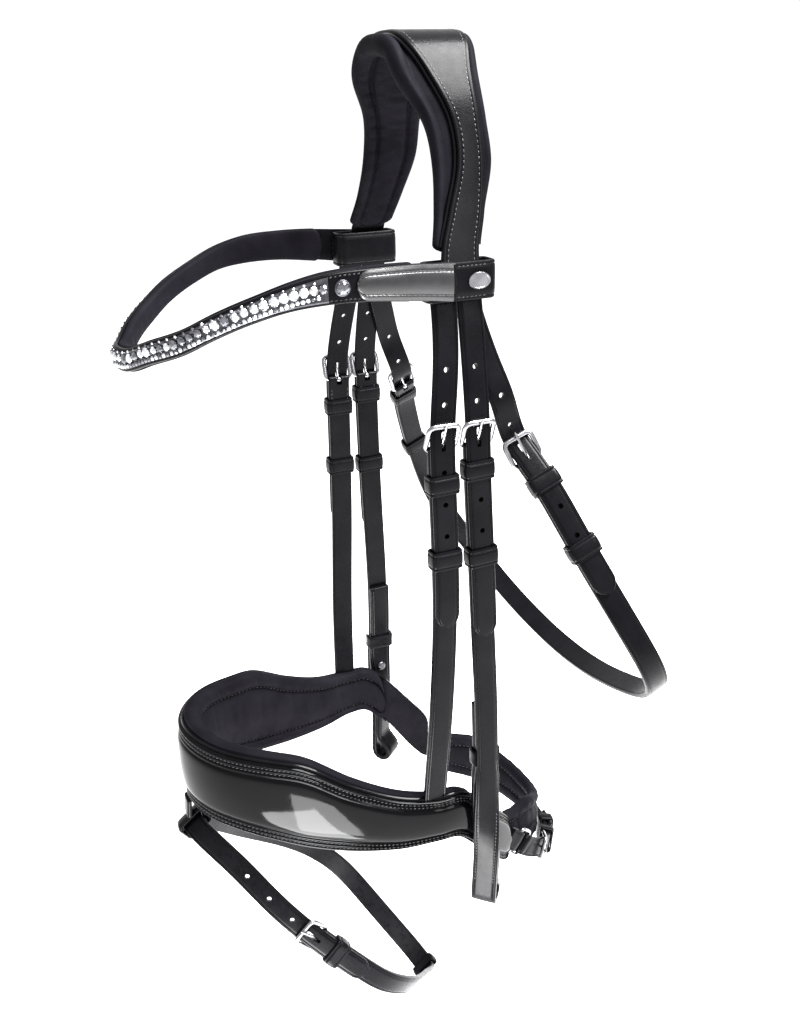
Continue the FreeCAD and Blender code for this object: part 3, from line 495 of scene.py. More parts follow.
def strap(skin, line, start, end, layer, half=WIDTH / 2, holes=(), fork=None, ends=("square", "square"),
          crease=1.65, step=3.0, mark=0, shift=None):
    """A leather strap with rounded edges, creased lines, real holes and finished ends.

    holes are (first edge, last edge, radius) along the line. fork is where the slot for a tongue's eye ends.
    An end is square, cut (it goes on in another strap), fold (round over its thickness) or point. half, the
    half width, may be a function of distance, and shift, the middle's place across, is one.
    """
    low, high = layer
    thickness, middle = high - low, (high + low) / 2
    soft = thickness / 2
    rows = strap_rows(start, end, holes, fork, ends, soft, step)
    width, slim = end_sizes(rows, start, end, ends, soft)
    halves = (half(rows) if callable(half) else np.full_like(rows, half)) * width
    outer = half_columns(thickness, crease)
    reach = np.minimum(1, halves / 5)[:, None]
    edge = halves[:, None] - np.array([c[0] for c in outer]) * reach
    inner = np.array(INNER + (0.0,)) / (WIDTH / 2 - crease - 0.4) * (halves[:, None] - (crease + 0.4) * reach)
    if not callable(half) and abs(half - WIDTH / 2) > 1:
        inner = np.array(INNER + (0.0,)) / 4.7 * (halves[:, None] - (crease + 0.4) * reach)
    side = np.concatenate([edge, inner], axis=1)
    across = np.concatenate([-side, side[:, -2::-1]], axis=1)
    crown = [0.10, 0.13, 0.15, 0.15, 0.15]
    upper = np.array([c[1] for c in outer] + [thickness / 2 + c for c in crown])
    lower = np.array([c[2] for c in outer] + [thickness / 2] * len(crown))
    upper, lower = (np.concatenate([h, h[-2::-1]])[None] * slim[:, None] for h in (upper, lower))
    along = np.broadcast_to(rows[:, None], across.shape).copy()
    present = np.ones((len(rows) - 1, across.shape[1] - 1), bool)
    centre = across.shape[1] // 2
    first_column, last_column = centre - 2, centre + 2
    for first, last, radius in holes:
        i, k = np.argmin(abs(rows - first)), np.argmin(abs(rows - last))
        present[i:k, first_column:last_column] = False
        across[i:k + 1, first_column], across[i:k + 1, last_column] = -radius, radius
        for row, second, spot, sign in ((i, i + 1, first + radius, 1), (k, k - 1, last - radius, -1)):
            for column in range(HOLE_COLUMNS):
                turn = math.radians(225 + 22.5 * column)
                along[row, first_column + column] = spot + sign * radius * math.sin(turn)
                across[row, first_column + column] = radius * math.cos(turn)
            for column, turn in ((first_column, 202.5), (last_column, 337.5)):
                along[second, column] = spot + sign * radius * math.sin(math.radians(turn))
                across[second, column] = radius * math.cos(math.radians(turn))
    if fork is not None:
        k = np.argmin(abs(rows - fork))
        present[:k, first_column:last_column] = False
        across[:k + 1, first_column], across[:k + 1, last_column] = -1.7, 1.7
    if shift is not None:
        across = across + shift(along)
    shape = across.shape
    top, bottom = (skin.add(line.point(along, across, height)) + np.arange(across.size).reshape(shape)
                   for height in (middle + upper, middle - lower))
    bottom[:, 0], bottom[:, -1] = top[:, 0], top[:, -1]
    for i in range(shape[0] - 1):
        for j in range(shape[1] - 1):
            if not present[i, j]:
                continue
            skin.face((top[i, j], top[i, j + 1], top[i + 1, j + 1], top[i + 1, j]), mark)
            skin.face((bottom[i, j], bottom[i + 1, j], bottom[i + 1, j + 1], bottom[i, j + 1]), mark)
            before, after = (i, j), (i + 1, j + 1)
            walls = (
                (i == 0 or not present[i - 1, j], before, (i, j + 1)),
                (i == shape[0] - 2 or not present[i + 1, j], after, (i + 1, j)),
                (j and not present[i, j - 1], (i + 1, j), before),
                (j < shape[1] - 2 and not present[i, j + 1], (i, j + 1), after),
            )
            for open_side, a, b in walls:
                if open_side:
                    wall(skin, top[a], top[b], bottom[b], bottom[a], mark)


def wall(skin, a, b, c, d, mark):
    """A face between an edge of the upper face and the lower face's same edge, which may meet at one end."""
    corners = []
    for corner in (a, b, c, d):
        if corner not in corners:
            corners.append(corner)
    skin.face(tuple(corners), mark)


def seam(skin, line, start, end, across, height, mark=1, pitch=2.5, outward=1):
    """Stitches along a strap at one place across it. across may be a function of distance."""
    at = np.linspace(start, end, max(4, int((end - start) / 2)))
    side = across(at) if callable(across) else np.full_like(at, across)
    _, out, _ = line.frames(at)
    stitches(skin, line.point(at, side, np.full_like(at, height)), out * outward, mark, pitch=pitch)


def even_holes(heel, above, below, pitch=HOLE_PITCH, used=6.0):
    """The tongue's slot and the punched holes of a billet."""
    centres = [heel - used + k * pitch for k in range(-above, below + 1) if k]
    return [(c - HOLE, c + HOLE, HOLE) for c in centres] + [(heel - 10.2, heel + 0.3, 1.15)]


def hoop(path, profile, spacing):
    """A section (out, height) carried round a closed flat outline, and the outline's points and normals."""
    dense = []
    for a, b in zip(path, np.roll(path, -1, axis=0)):
        count = max(1, int(math.dist(a, b) / spacing))
        dense += [a + (b - a) * k / count for k in range(count)]
    dense = np.array(dense)
    travel = np.roll(dense, -1, axis=0) - np.roll(dense, 1, axis=0)
    normal = unit(np.stack([travel[:, 1], -travel[:, 0]], axis=-1))
    points = np.zeros((len(dense), len(profile), 3))
    for k, (out, z) in enumerate(profile):
        points[:, k, :2] = dense + normal * out
        points[:, k, 2] = z
    return points, dense, normal


def keeper(skin, line, distance, low, high, height=KEEPER_HEIGHT, slack=SLACK, thick=KEEPER_WALL):
    """A leather loop round everything between two heights: crowned, with a creased line near each edge."""
    half, low, high = WIDTH / 2 + slack, low - slack, high + slack
    path = rounded([(low, -half), (high, -half), (high, half), (low, half)], 0.9, steps=5)
    h = height / 2
    profile = [
        (0.0, -h + 0.35), (0.45, -h), (thick * 0.8, -h + 0.1), (thick, -h + 0.7), (thick + 0.02, -h + 1.3),
        (thick - 0.22, -h + 1.65), (thick + 0.1, -h + 2.05), (thick + 0.22, -h * 0.4), (thick + 0.26, 0.0),
    ]
    profile = profile + [(x, -z) for x, z in reversed(profile[:-1])]
    points, _, _ = hoop(path, profile, 1.5)
    skin.grid(placed(points, line.matrix(distance)), round_rows=True)


# ---- Metal -----------------------------------------------------------------------------------------------
def buckle(skin, line, heel):
    """A cast wire buckle: a rounded frame that is thinner at its heel bar."""
    corners = [(HEEL_X, -SIDE_Y, 0), (TOP_X, -SIDE_Y, BUCKLE_REACH), (TOP_X, SIDE_Y, BUCKLE_REACH),
               (HEEL_X, SIDE_Y, 0)]
    path = rounded(corners, 3.4, steps=9)
    radius = np.interp(path[:, 2], [0.2, 2.4, 9.0, 12.5], [0.85, 1.3, 1.4, 1.45])
    turn, _ = line.matrix(heel)
    normal = turn @ np.array([BUCKLE_REACH, 0.0, HEEL_X - TOP_X])
    wire(skin, placed(path, line.matrix(heel)), radius, normal, squash=0.86, count=14)


def tongue(skin, line, heel):
    """A buckle's tongue: an eye round the heel bar and a tapered, slightly bowed pin over the top bar."""
    matrix = line.matrix(heel)
    eye = [(HEEL_X + 1.32 * math.cos(a), 0, 1.32 * math.sin(a)) for a in np.linspace(0, 2 * math.pi, 19)[:-1]]
    turn, _ = matrix
    wire(skin, placed(eye, matrix), 0.42, turn @ np.array([0.0, 1.0, 0.0]), squash=2.6, count=10)
    rise = TOP_X + 2.0 - HEEL_X
    share = np.linspace(0.10, 1.16, 12)
    bow = 0.5 * np.sin(np.clip(share, 0, 1) * math.pi)
    pin = np.stack([HEEL_X + rise * share + bow, np.zeros_like(share), BUCKLE_REACH * share], axis=-1)
    radius = np.interp(share, [0.1, 0.8, 1.08, 1.13, 1.16], [0.85, 0.78, 0.72, 0.5, 0.15])
    wire(skin, placed(pin, matrix), radius, turn @ np.array([0.0, 1.0, 0.0]), closed=False, count=12)


def dome(skin, matrix, radius, height, base, direction=1):
    """A domed head round the x axis of a frame."""
    rings = []
    for x, share in ((0, 0.86), (0.15, 1.0), (0.4, 0.98), (0.65, 0.85), (0.85, 0.6), (0.97, 0.28)):
        ring = circle(radius * share, 24)
        rings.append(np.concatenate([np.full((24, 1), base + direction * height * x), ring], axis=1))
    skin.grid(placed(rings, matrix))


def buckled(skin, line, heel, end, finish="square"):
    """A strap that is folded over a buckle's heel bar."""
    strap(skin, line, heel - FOLD, end, STRAP_LAYER, fork=heel + FORK, ends=("fold", finish))


def billet(skin, line, start, tip, heel):
    """A pointed strap with holes, on top of the strap that it is buckled to."""
    strap(skin, line, start, tip, BILLET_LAYER, holes=even_holes(heel, 2, 3), ends=("square", "point"))


def keeper_piece(name, node, owner, line, distance, layers=None, mirror=False, **sizes):
    skin = Skin(mirror)
    keeper(skin, line, distance, *(layers or STACK), **sizes)
    leather_piece(skin, name, owner, node)


def buckle_pieces(name, node, owner, line, heel, mirror=False, end=""):
    """A buckle's frame, and its tongue as a body of its own."""
    pin = f"{name}_tongue{end}"
    for shape, part, body, replaced in ((buckle, "frame", owner, node), (tongue, "pin", pin, pin)):
        skin = Skin(mirror)
        shape(skin, line, heel)
        piece(skin, f"{name}_buckle_{part}{end}", [STEEL], body, stands_for=[replaced])


# ---- Materials -------------------------------------------------------------------------------------------
TEXTURE_SPAN = (0.3, 0.7)           # the part of a texture's range that is used


def nodes_for(name):
    made = bpy.data.materials.new(name)
    made.use_nodes = True
    tree = made.node_tree
    tree.nodes.clear()
    output = tree.nodes.new("ShaderNodeOutputMaterial")
    shader = tree.nodes.new("ShaderNodeBsdfPrincipled")
    tree.links.new(shader.outputs[0], output.inputs[0])
    return made, tree, shader


def texture(tree, kind, scale, **values):
    """A noise, voronoi or wave texture in the object's own coordinates."""
    node = tree.nodes.new(kind)
    where = tree.nodes.new("ShaderNodeTexCoord")
    tree.links.new(where.outputs["Object"], node.inputs["Vector"])
    settings(node, {"Scale": scale} | {name.title(): value for name, value in values.items()})
    return node


def settings(node, values):
    for name, value in values.items():
        node.inputs[name].default_value = value


def spread(tree, source, low, high):
    """A texture's value, spread between two numbers."""
    node = tree.nodes.new("ShaderNodeMapRange")
    tree.links.new(source, node.inputs["Value"])
    settings(node, {"From Min": TEXTURE_SPAN[0], "From Max": TEXTURE_SPAN[1], "To Min": low, "To Max": high})
    return node.outputs[0]


def tones(tree, source, dark, light):
    ramp = tree.nodes.new("ShaderNodeValToRGB")
    tree.links.new(source, ramp.inputs[0])
    for stop, place, colour in zip(ramp.color_ramp.elements, TEXTURE_SPAN, (dark, light)):
        stop.position, stop.color = place, (*colour, 1)
    return ramp.outputs[0]


def tint(tree, shader, colour, rough):
    """Colour and roughness that vary with textures: (source, darkest, lightest) and (source, least, most)."""
    tree.links.new(tones(tree, *colour), shader.inputs["Base Color"])
    tree.links.new(spread(tree, *rough), shader.inputs["Roughness"])


def bumps(tree, shader, layers):
    """Chained bump nodes from (height, distance in mm, strength), coarse first."""
    last = None
    for height, distance, strength in layers:
        bump = tree.nodes.new("ShaderNodeBump")
        settings(bump, {"Distance": distance * METRES, "Strength": strength})
        tree.links.new(height, bump.inputs["Height"])
        if last:
            tree.links.new(last, bump.inputs["Normal"])
        last = bump.outputs[0]
    tree.links.new(last, shader.inputs["Normal"])


def leather(name, dark, light, rough, grain, ior=1.45, coat=0.0, coat_rough=0.2, wrinkle=0.3, cell=1500):
    made, tree, shader = nodes_for(name)
    pores = texture(tree, "ShaderNodeTexVoronoi", cell)
    fine = texture(tree, "ShaderNodeTexNoise", cell * 2.2, detail=3)
    broad = texture(tree, "ShaderNodeTexNoise", 55, detail=4)
    patch = texture(tree, "ShaderNodeTexNoise", 240, detail=2)
    tint(tree, shader, (broad.outputs[0], dark, light), (patch.outputs[0], *rough))
    bumps(tree, shader, [(broad.outputs[0], wrinkle, 0.5), (pores.outputs["Distance"], 0.09, grain),
                         (fine.outputs[0], 0.05, grain)])
    settings(shader, {"IOR": ior, "Coat Weight": coat, "Coat Roughness": coat_rough})
    return made


def metal(name, dark, light, rough, scratches=0.25):
    made, tree, shader = nodes_for(name)
    broad = texture(tree, "ShaderNodeTexNoise", 130, detail=5)
    fine = texture(tree, "ShaderNodeTexNoise", 2600, detail=2)
    tint(tree, shader, (broad.outputs[0], dark, light), (fine.outputs[0], *rough))
    bumps(tree, shader, [(broad.outputs[0], 0.06, scratches), (fine.outputs[0], 0.02, scratches)])
    settings(shader, {"Metallic": 1.0})
    return made


def thread_material():
    made, tree, shader = nodes_for("waxed_thread")
    twist = texture(tree, "ShaderNodeTexWave", 900, distortion=2.0)
    broad = texture(tree, "ShaderNodeTexNoise", 300, detail=2)
    tint(tree, shader, (broad.outputs[0], (0.006, 0.006, 0.0075), (0.018, 0.018, 0.021)),
         (broad.outputs[0], 0.42, 0.6))
    bumps(tree, shader, [(twist.outputs[0], 0.12, 0.6)])
    return made


def crystal_material(name, dark, light, rough):
    made, tree, shader = nodes_for(name)
    spots = texture(tree, "ShaderNodeTexNoise", 420, detail=1)
    tint(tree, shader, (spots.outputs[0], dark, light), (spots.outputs[0], rough, rough * 2))
    settings(shader, {"Metallic": 0.85, "Coat Weight": 1.0, "Coat Roughness": 0.02})
    return made


BRIDLE = leather("polished_bridle_leather", (0.0016, 0.0015, 0.0021), (0.0034, 0.0032, 0.0042), (0.24, 0.34),
                 0.3, ior=1.13, coat=0.03, coat_rough=0.14)
PATCH = leather("polished_patch_leather", (0.0024, 0.0023, 0.003), (0.005, 0.0048, 0.006), (0.26, 0.36), 0.3,
                ior=1.5, coat=0.35, coat_rough=0.2)
PADDING = leather("soft_padding_leather", (0.0035, 0.0032, 0.0045), (0.0068, 0.0063, 0.0085), (0.55, 0.68),
                  0.6, ior=1.08, wrinkle=0.9, cell=1100)
PATENT = leather("patent_leather", (0.0008, 0.0008, 0.001), (0.0015, 0.0015, 0.0018), (0.05, 0.08), 0.02,
                 ior=1.14, coat=0.06, coat_rough=0.02, wrinkle=0.2)
TRIM = leather("patent_piping", (0.0016, 0.0016, 0.002), (0.003, 0.003, 0.0038), (0.12, 0.2), 0.1, ior=1.15,
               coat=0.06, coat_rough=0.08)
THREAD = thread_material()
STEEL = metal("polished_steel", (0.20, 0.20, 0.21), (0.36, 0.36, 0.38), (0.16, 0.3))
SETTING = metal("dark_setting", (0.035, 0.035, 0.04), (0.10, 0.10, 0.11), (0.22, 0.4))
CRYSTAL = crystal_material("clear_crystal", (0.50, 0.51, 0.54), (0.86, 0.87, 0.90), 0.03)
SMOKY = crystal_material("smoky_crystal", (0.06, 0.06, 0.07), (0.20, 0.20, 0.22), 0.04)
LEATHER_SET = [BRIDLE, THREAD]

# ---- Routes ----------------------------------------------------------------------------------------------
NOSE_CHEEK = along_points(NOSE_CHEEK_POINTS, (0, 1, 0))
CHEEKPIECE = along_points(CHEEKPIECE_POINTS, (0, 1, 0), BIT_END_TWIST)
THROAT = along_points(there_and_back(THROAT_POINTS), (0, 1, 0.42))
FLASH = along_points(there_and_back(FLASH_POINTS), (0, 0.777, 0.63))
CRANK = along_points(there_and_back(CRANK_POINTS), (0, 0.1, 1))
SIDES = (("near", False), ("far", True))
STACK = (STRAP_LAYER[0], BILLET_LAYER[1])


def turned_line(line):
    """The same line run from its other end."""
    return Line(line.places[::-1], line.outward[::-1], line.across[::-1])


def bit_loop_line():
    """The middle of the cheekpiece's leather: down the outer leg, round the bit's eye, up the inner leg."""
    outer_mid, inner_mid = sum(STRAP_LAYER) / 2, sum(TAIL_LAYER) / 2
    down = np.arange(CHEEK_HEEL - 2.2, CHEEKPIECE.length, 1.0)
    place, outward, across = CHEEKPIECE.frames(down)
    places, outs, sides = [place + outward * outer_mid], [outward], [across]
    turn, end = CHEEKPIECE.matrix(CHEEKPIECE.length)
    middle = (STRAP_LAYER[0] - EYE, -EYE_DROP)
    radius = EYE + (STRAP_LAYER[1] - STRAP_LAYER[0]) / 2
    leave = math.atan2(-middle[1], inner_mid - middle[0])
    leave += math.acos(radius / math.hypot(inner_mid - middle[0], middle[1])) - 2 * math.pi
    local = [(outer_mid, z, 0.0) for z in np.arange(0.0, -EYE_DROP, -1.5)]
    local += [(middle[0] + radius * math.cos(a), middle[1] + radius * math.sin(a), a)
              for a in np.linspace(0, leave, 28)]
    foot = local[-1]
    local += [(foot[0] + (inner_mid - foot[0]) * t, foot[1] * (1 - t), leave + (-math.pi - leave) * t * t)
              for t in np.linspace(0.1, 0.95, 8)]
    for x, z, angle in local:
        places.append((end + turn @ np.array([x, 0, z]))[None])
        outs.append((turn @ np.array([math.cos(angle), 0, math.sin(angle)]))[None])
        sides.append(turn[:, 1][None])
    up = np.arange(CHEEKPIECE.length, TAIL_TIP, -1.0)
    place, outward, across = CHEEKPIECE.frames(up)
    places.append(place + outward * inner_mid)
    outs.append(-outward)
    sides.append(across)
    return Line(np.concatenate(places), np.concatenate(outs), np.concatenate(sides))


BIT_LOOP = bit_loop_line()


def tail_loop(skin, distance, half):
    """The band behind the bit end's tail, its two ends sewn to the strap's sides."""
    turn, place = CHEEKPIECE.matrix(distance)
    side, back, front = half + 0.95, TAIL_LAYER[0] - 1.0, -1.3
    corners = [(front, -side + 0.5), (front - 1, -side), (back + 1.6, -side), (back + 0.3, -side + 0.5),
               (back, -side + 1.9)]
    path = np.array([(x, y, 0.0) for x, y in corners + [(x, -y) for x, y in reversed(corners)]])
    profile = [(0.62, -4.2), (0.75, -3.0), (0.62, -1.8), (0.66, 1.8), (0.75, 3.0), (0.62, 4.2), (0.3, 4.7),
               (-0.5, 4.6), (-0.5, -4.6), (0.3, -4.7)]
    slopes = unit(np.gradient(path, axis=0))
    normal = np.stack([slopes[:, 1], -slopes[:, 0], np.zeros(len(path))], axis=1)
    if normal[len(path) // 2, 0] > 0:
        normal = -normal
    rings = np.array([[point + lift * out + np.array([0, 0, rise]) for lift, rise in profile]
                      for point, out in zip(path, normal)])
    skin.grid(place + rings @ turn.T)


# ---- Cheeks ----------------------------------------------------------------------------------------------
def cheek_side(side, mirror):
    body = side + "_cheek"

    skin = Skin(mirror)
    billet(skin, NOSE_CHEEK, 0.0, NOSE_BILLET, CHEEK_HEEL)
    leather_piece(skin, f"noseband_billet_{side}", "headpiece", "noseband_billets")
    skin = Skin(mirror)
    billet(skin, CHEEKPIECE, 0.0, CHEEK_BILLET, CHEEK_HEEL)
    leather_piece(skin, f"cheek_billet_leather_{side}", None, "billet_roots", f"cheek_billet_{side}",
                  bend=("headpiece", body, CHEEK_HINGE))

    skin = Skin(mirror)
    buckled(skin, NOSE_CHEEK, CHEEK_HEEL, NOSE_CHEEK.length)
    for across in (-SEAM_ACROSS, SEAM_ACROSS):
        seam(skin, NOSE_CHEEK, CHEEK_HEEL + SEAM_START, NOSE_SEAM_END, across, STRAP_LAYER[0], outward=-1)
    leather_piece(skin, f"noseband_cheek_{side}", "headpiece", "noseband_cheeks")

    skin = Skin(mirror)
    narrow, wide = WIDTH / 2, BIT_END_WIDTH / 2
    widens, narrows = BIT_END_TOP - (CHEEK_HEEL - FOLD), BIT_LOOP.length - (BIT_END_TOP - TAIL_TIP)

    def half(at):
        return np.interp(at, [widens - 3, widens + 4, narrows - 4, narrows + 3], [narrow, wide, wide, narrow])

    thick = (STRAP_LAYER[1] - STRAP_LAYER[0]) / 2
    strap(skin, BIT_LOOP, 0.0, BIT_LOOP.length, (-thick, thick), half=half, fork=FOLD + FORK,
          ends=("fold", "square"))
    end = CHEEKPIECE.length
    for across in (-wide + 2.0, wide - 2.0):
        seam(skin, CHEEKPIECE, HOOK_STUD + 9, end - 1, across, STRAP_LAYER[1] + 0.05, pitch=2.2)
        seam(skin, CHEEKPIECE, HOOK_STUD + 9, end - 1, across, TAIL_LAYER[0] - 0.1, pitch=2.2, outward=-1)
        seam(skin, CHEEKPIECE, CHEEK_HEEL + SEAM_START, CHEEK_SEAM_END, across * 0.8, STRAP_LAYER[0],
             outward=-1)
    for across in (-wide + 0.9, wide - 0.9):
        at = np.linspace(HOOK_STUD + 8, end, 30)
        core = CHEEKPIECE.point(at, np.full_like(at, across * 0.96), np.full_like(at, -3.8))
        wire(skin, core, 0.75, [0, 1, 0], closed=False, count=8)
    leather_piece(skin, f"cheekpiece_leather_{side}", body, f"cheekpiece_{side}")

    for line, name, distances, node, owner in (
            (NOSE_CHEEK, "noseband", NOSE_KEEPERS, "noseband_fixed_keepers", "headpiece"),
            (CHEEKPIECE, "cheek", CHEEK_KEEPERS, f"cheek_fixed_keeper_{side}", body),
            (THROAT, "throat", THROAT_KEEPERS[side], "throat_fixed_keepers", "throatlash")):
        moves = f"{name}_keeper_{side}"
        keeper_piece(f"{name}_fixed_loop_{side}", node, owner, line, distances[0], mirror=mirror)
        keeper_piece(f"{name}_running_loop_{side}", moves, moves, line, distances[1], mirror=mirror,
                     slack=RUNNING_SLACK)
    skin = Skin(mirror)
    tail_loop(skin, BIT_KEEPER[side], narrow if side == "near" else wide)
    leather_piece(skin, f"bit_loop_keeper_{side}", body, f"bit_keeper_{side}")

    for line, name, heel, node, owner in (
            (NOSE_CHEEK, "noseband", CHEEK_HEEL, "noseband_buckles", "headpiece"),
            (CHEEKPIECE, "cheek", CHEEK_HEEL, f"cheek_buckle_{side}", body),
            (THROAT, "throat", THROAT_HEEL, "throat_buckles", "throatlash")):
        buckle_pieces(name, node, owner, line, heel, mirror, "_" + side)

    skin = Skin(mirror)
    dome(skin, CHEEKPIECE.matrix(HOOK_STUD), 3.3, 1.7, TAIL_LAYER[0] - 0.1, -1)
    piece(skin, f"hook_stud_head_{side}", [SETTING], body, stands_for=[f"hook_stud_{side}"])

    skin = Skin(mirror)
    billet(skin, THROAT, 6.0, THROAT_BILLET, THROAT_HEEL)
    leather_piece(skin, f"throat_billet_{side}", None, "billet_roots", "throat_billets",
                  bend=("headpiece", "throatlash", THROAT_HINGE))


def throatlash():
    skin = Skin()
    halves = (THROAT, turned_line(THROAT))
    for line in halves:
        buckled(skin, line, THROAT_HEEL, THROAT.length / 2, "cut")
    for line in halves:
        for across in (-SEAM_ACROSS, SEAM_ACROSS):
            seam(skin, line, THROAT_HEEL + SEAM_START, THROAT_SEAM_END, across, STRAP_LAYER[0], outward=-1)
    leather_piece(skin, "throatlash_leather", "throatlash", "throatlash_strap")


# ---- Crown -----------------------------------------------------------------------------------------------
def headpiece():
    crown = Band(CROWN_SHAPE, arch=True)
    share = np.linspace(0, 1, 260)
    places, outward, sizes = crown.frames(share)
    centre = places.copy()
    centre[:, 1] = (sizes[:, 0] + sizes[:, 1]) / 2
    sideways = np.broadcast_to(np.array([0.0, 1.0, 0.0]), outward.shape)
    arch = Line(places, outward, sideways)
    marks = arch.marks
    front, back = sizes[:, 0], sizes[:, 1]

    def half(at):
        return np.interp(at, marks, (back - front) / 2)

    def shift(at):
        return np.interp(at, marks, (back + front) / 2)

    skin = Skin()
    strap(skin, arch, 0.0, arch.length, (-CROWN_LEATHER, 0.0), half=half, shift=shift, crease=3.0)
    for edge, sign in ((front, 1), (back, -1)):
        seam(skin, arch, 6.0, arch.length - 6.0, lambda at: np.interp(at, marks, edge + sign * 3.0), -0.12)
    leather_piece(skin, "crown_leather", "headpiece", "crown_strap")
    crown_padding(crown)
    crown_piping(crown)


def crown_padding(crown):
    """The pad under the crown: a roll along each edge and puckered leather between."""
    skin = Skin()
    share = 0.5 + CROWN_PAD_END * np.linspace(-0.5, 0.5, 220)
    places, outward, sizes = crown.frames(share)
    front, back, depth = sizes[:, 2], sizes[:, 3], sizes[:, 4]
    near, scale = CROWN_PAD_NEAR, np.minimum(1.0, (back - front) / 46)
    puckers = 0.18 * np.sin(share * crown.length * 0.9) + 0.12 * noise.standard_normal(len(share))
    above = [(0.0, 0.45, 0.0), (0.6, 0.12, 0.0), (3.0, -0.02, 1.1), (6.2, 0.0, 0.7), (8.2, 0.06, -0.4),
             (13.0, 0.02, -0.3)]
    under = [(13.5, 0.90), (10.6, 0.60), (8.0, 0.88), (4.2, 1.0), (1.0, 0.82)]
    above = [(offset * scale, -near - depth * deep + rise * scale) for offset, deep, rise in above]
    under = [(offset * scale, -near - depth * deep, puckers * (deep > 0.85)) for offset, deep in under]
    ring = [(front + offset, height) for offset, height in above]
    ring += [(back - offset, height) for offset, height in reversed(above)]
    ring += [(back - offset, height + pucker) for offset, height, pucker in reversed(under)]
    ring.append(((front + back) / 2, -near - depth * 0.97 + puckers))
    ring += [(front + offset, height - pucker) for offset, height, pucker in under]
    rings = ring_through(np.stack([np.stack(pair, axis=-1) for pair in ring], axis=1), per=4)
    rings = rounded_ends(rings, share * crown.length, 5.0)
    sideways = np.broadcast_to(np.array([0.0, 1.0, 0.0]), outward.shape)
    skin.grid(swept(places, sideways, outward, rings))
    padding_piece(skin, "crown_padding", "headpiece", "crown_pad")


def crown_piping(crown):
    skin = Skin()
    share = 0.5 + (CROWN_PAD_END - 0.02) * np.linspace(-0.5, 0.5, 200)
    places, outward, sizes = crown.frames(share)
    for edge, sign in ((sizes[:, 0], -1), (sizes[:, 1], 1)):
        path = places.copy()
        path[:, 1] = edge + sign * 0.6
        wire(skin, path - outward * 2.5, 1.15, [0, 1, 0], closed=False, count=8)
    piece(skin, "crown_piping", [TRIM], "headpiece")


def rounded_ends(rings, distance, reach):
    """Shrinks the rings at both ends towards their middles, as a half ellipse."""
    away = np.minimum(distance - distance[0], distance[-1] - distance)
    size = np.sqrt(np.clip(1 - (1 - np.minimum(away / reach, 1)) ** 2, 0.0, 1))
    size = np.maximum(size, 0.05)[:, None, None]
    middle = rings.mean(axis=1, keepdims=True)
    return middle + (rings - middle) * size


def two_edged(side, top, bottom, middle=None, scale=1.0):
    """Controls down one face of a band: (outward, inset) from its top edge in, and out to its bottom edge."""
    centre = [] if middle is None else [(middle, (top + bottom) / 2)]
    return ([(u, top - z * scale) for u, z in side] + centre
            + [(u, bottom + z * scale) for u, z in reversed(side)])


def band_seam(skin, band, share, height, lift=0.0, face=1, keep=slice(None), **thread):
    """Stitches along a band, lift out from its curve, on its outer face, 1, or its inner face, -1."""
    places, outward, _ = band.frames(share)
    line = places + outward * np.broadcast_to(lift, share.shape)[:, None]
    line[:, 2] = height
    stitches(skin, line[keep], outward[keep] * face, 1, **thread)


def upright_band(band, share, controls, per=4, round_reach=0.0):
    """Points of an upright band. controls are (outward, height) arrays, in order round the section."""
    places, outward, _ = band.frames(share)
    rings = np.stack([np.stack(np.broadcast_arrays(u, z), axis=-1) for u, z in controls], axis=1)
    rings = ring_through(rings, per)
    if round_reach:
        rings = rounded_ends(rings, share * band.length, round_reach)
    up = np.broadcast_to(np.array([0.0, 0.0, 1.0]), outward.shape)
    return swept(places, outward, up, rings)


# ---- Browband --------------------------------------------------------------------------------------------
def gem_ring(count, radius, height, turn=0.0):
    angles = np.linspace(0, 2 * math.pi, count + 1)[:count] + turn
    return [(radius * math.cos(a), radius * math.sin(a), height) for a in angles]


GEM = (gem_ring(12, 0.94, 0.0) + gem_ring(12, 1.0, 0.34) + gem_ring(6, 0.66, 0.78, 0.26)
       + gem_ring(6, 0.36, 1.0, 0.78))
GEM_FACES = ([(k, (k + 1) % 12, 12 + (k + 1) % 12, 12 + k) for k in range(12)]
             + [(12 + 2 * k, 13 + 2 * k, 24 + k) for k in range(6)]
             + [(12 + 2 * k + 1, 12 + (2 * k + 2) % 12, 24 + k) for k in range(6)]
             + [(24 + k, 12 + (2 * k + 2) % 12, 24 + (k + 1) % 6) for k in range(6)]
             + [(24 + k, 24 + (k + 1) % 6, 30 + k) for k in range(6)]
             + [(24 + (k + 1) % 6, 30 + (k + 1) % 6, 30 + k) for k in range(6)]
             + [(30, 31, 32, 33, 34, 35)])


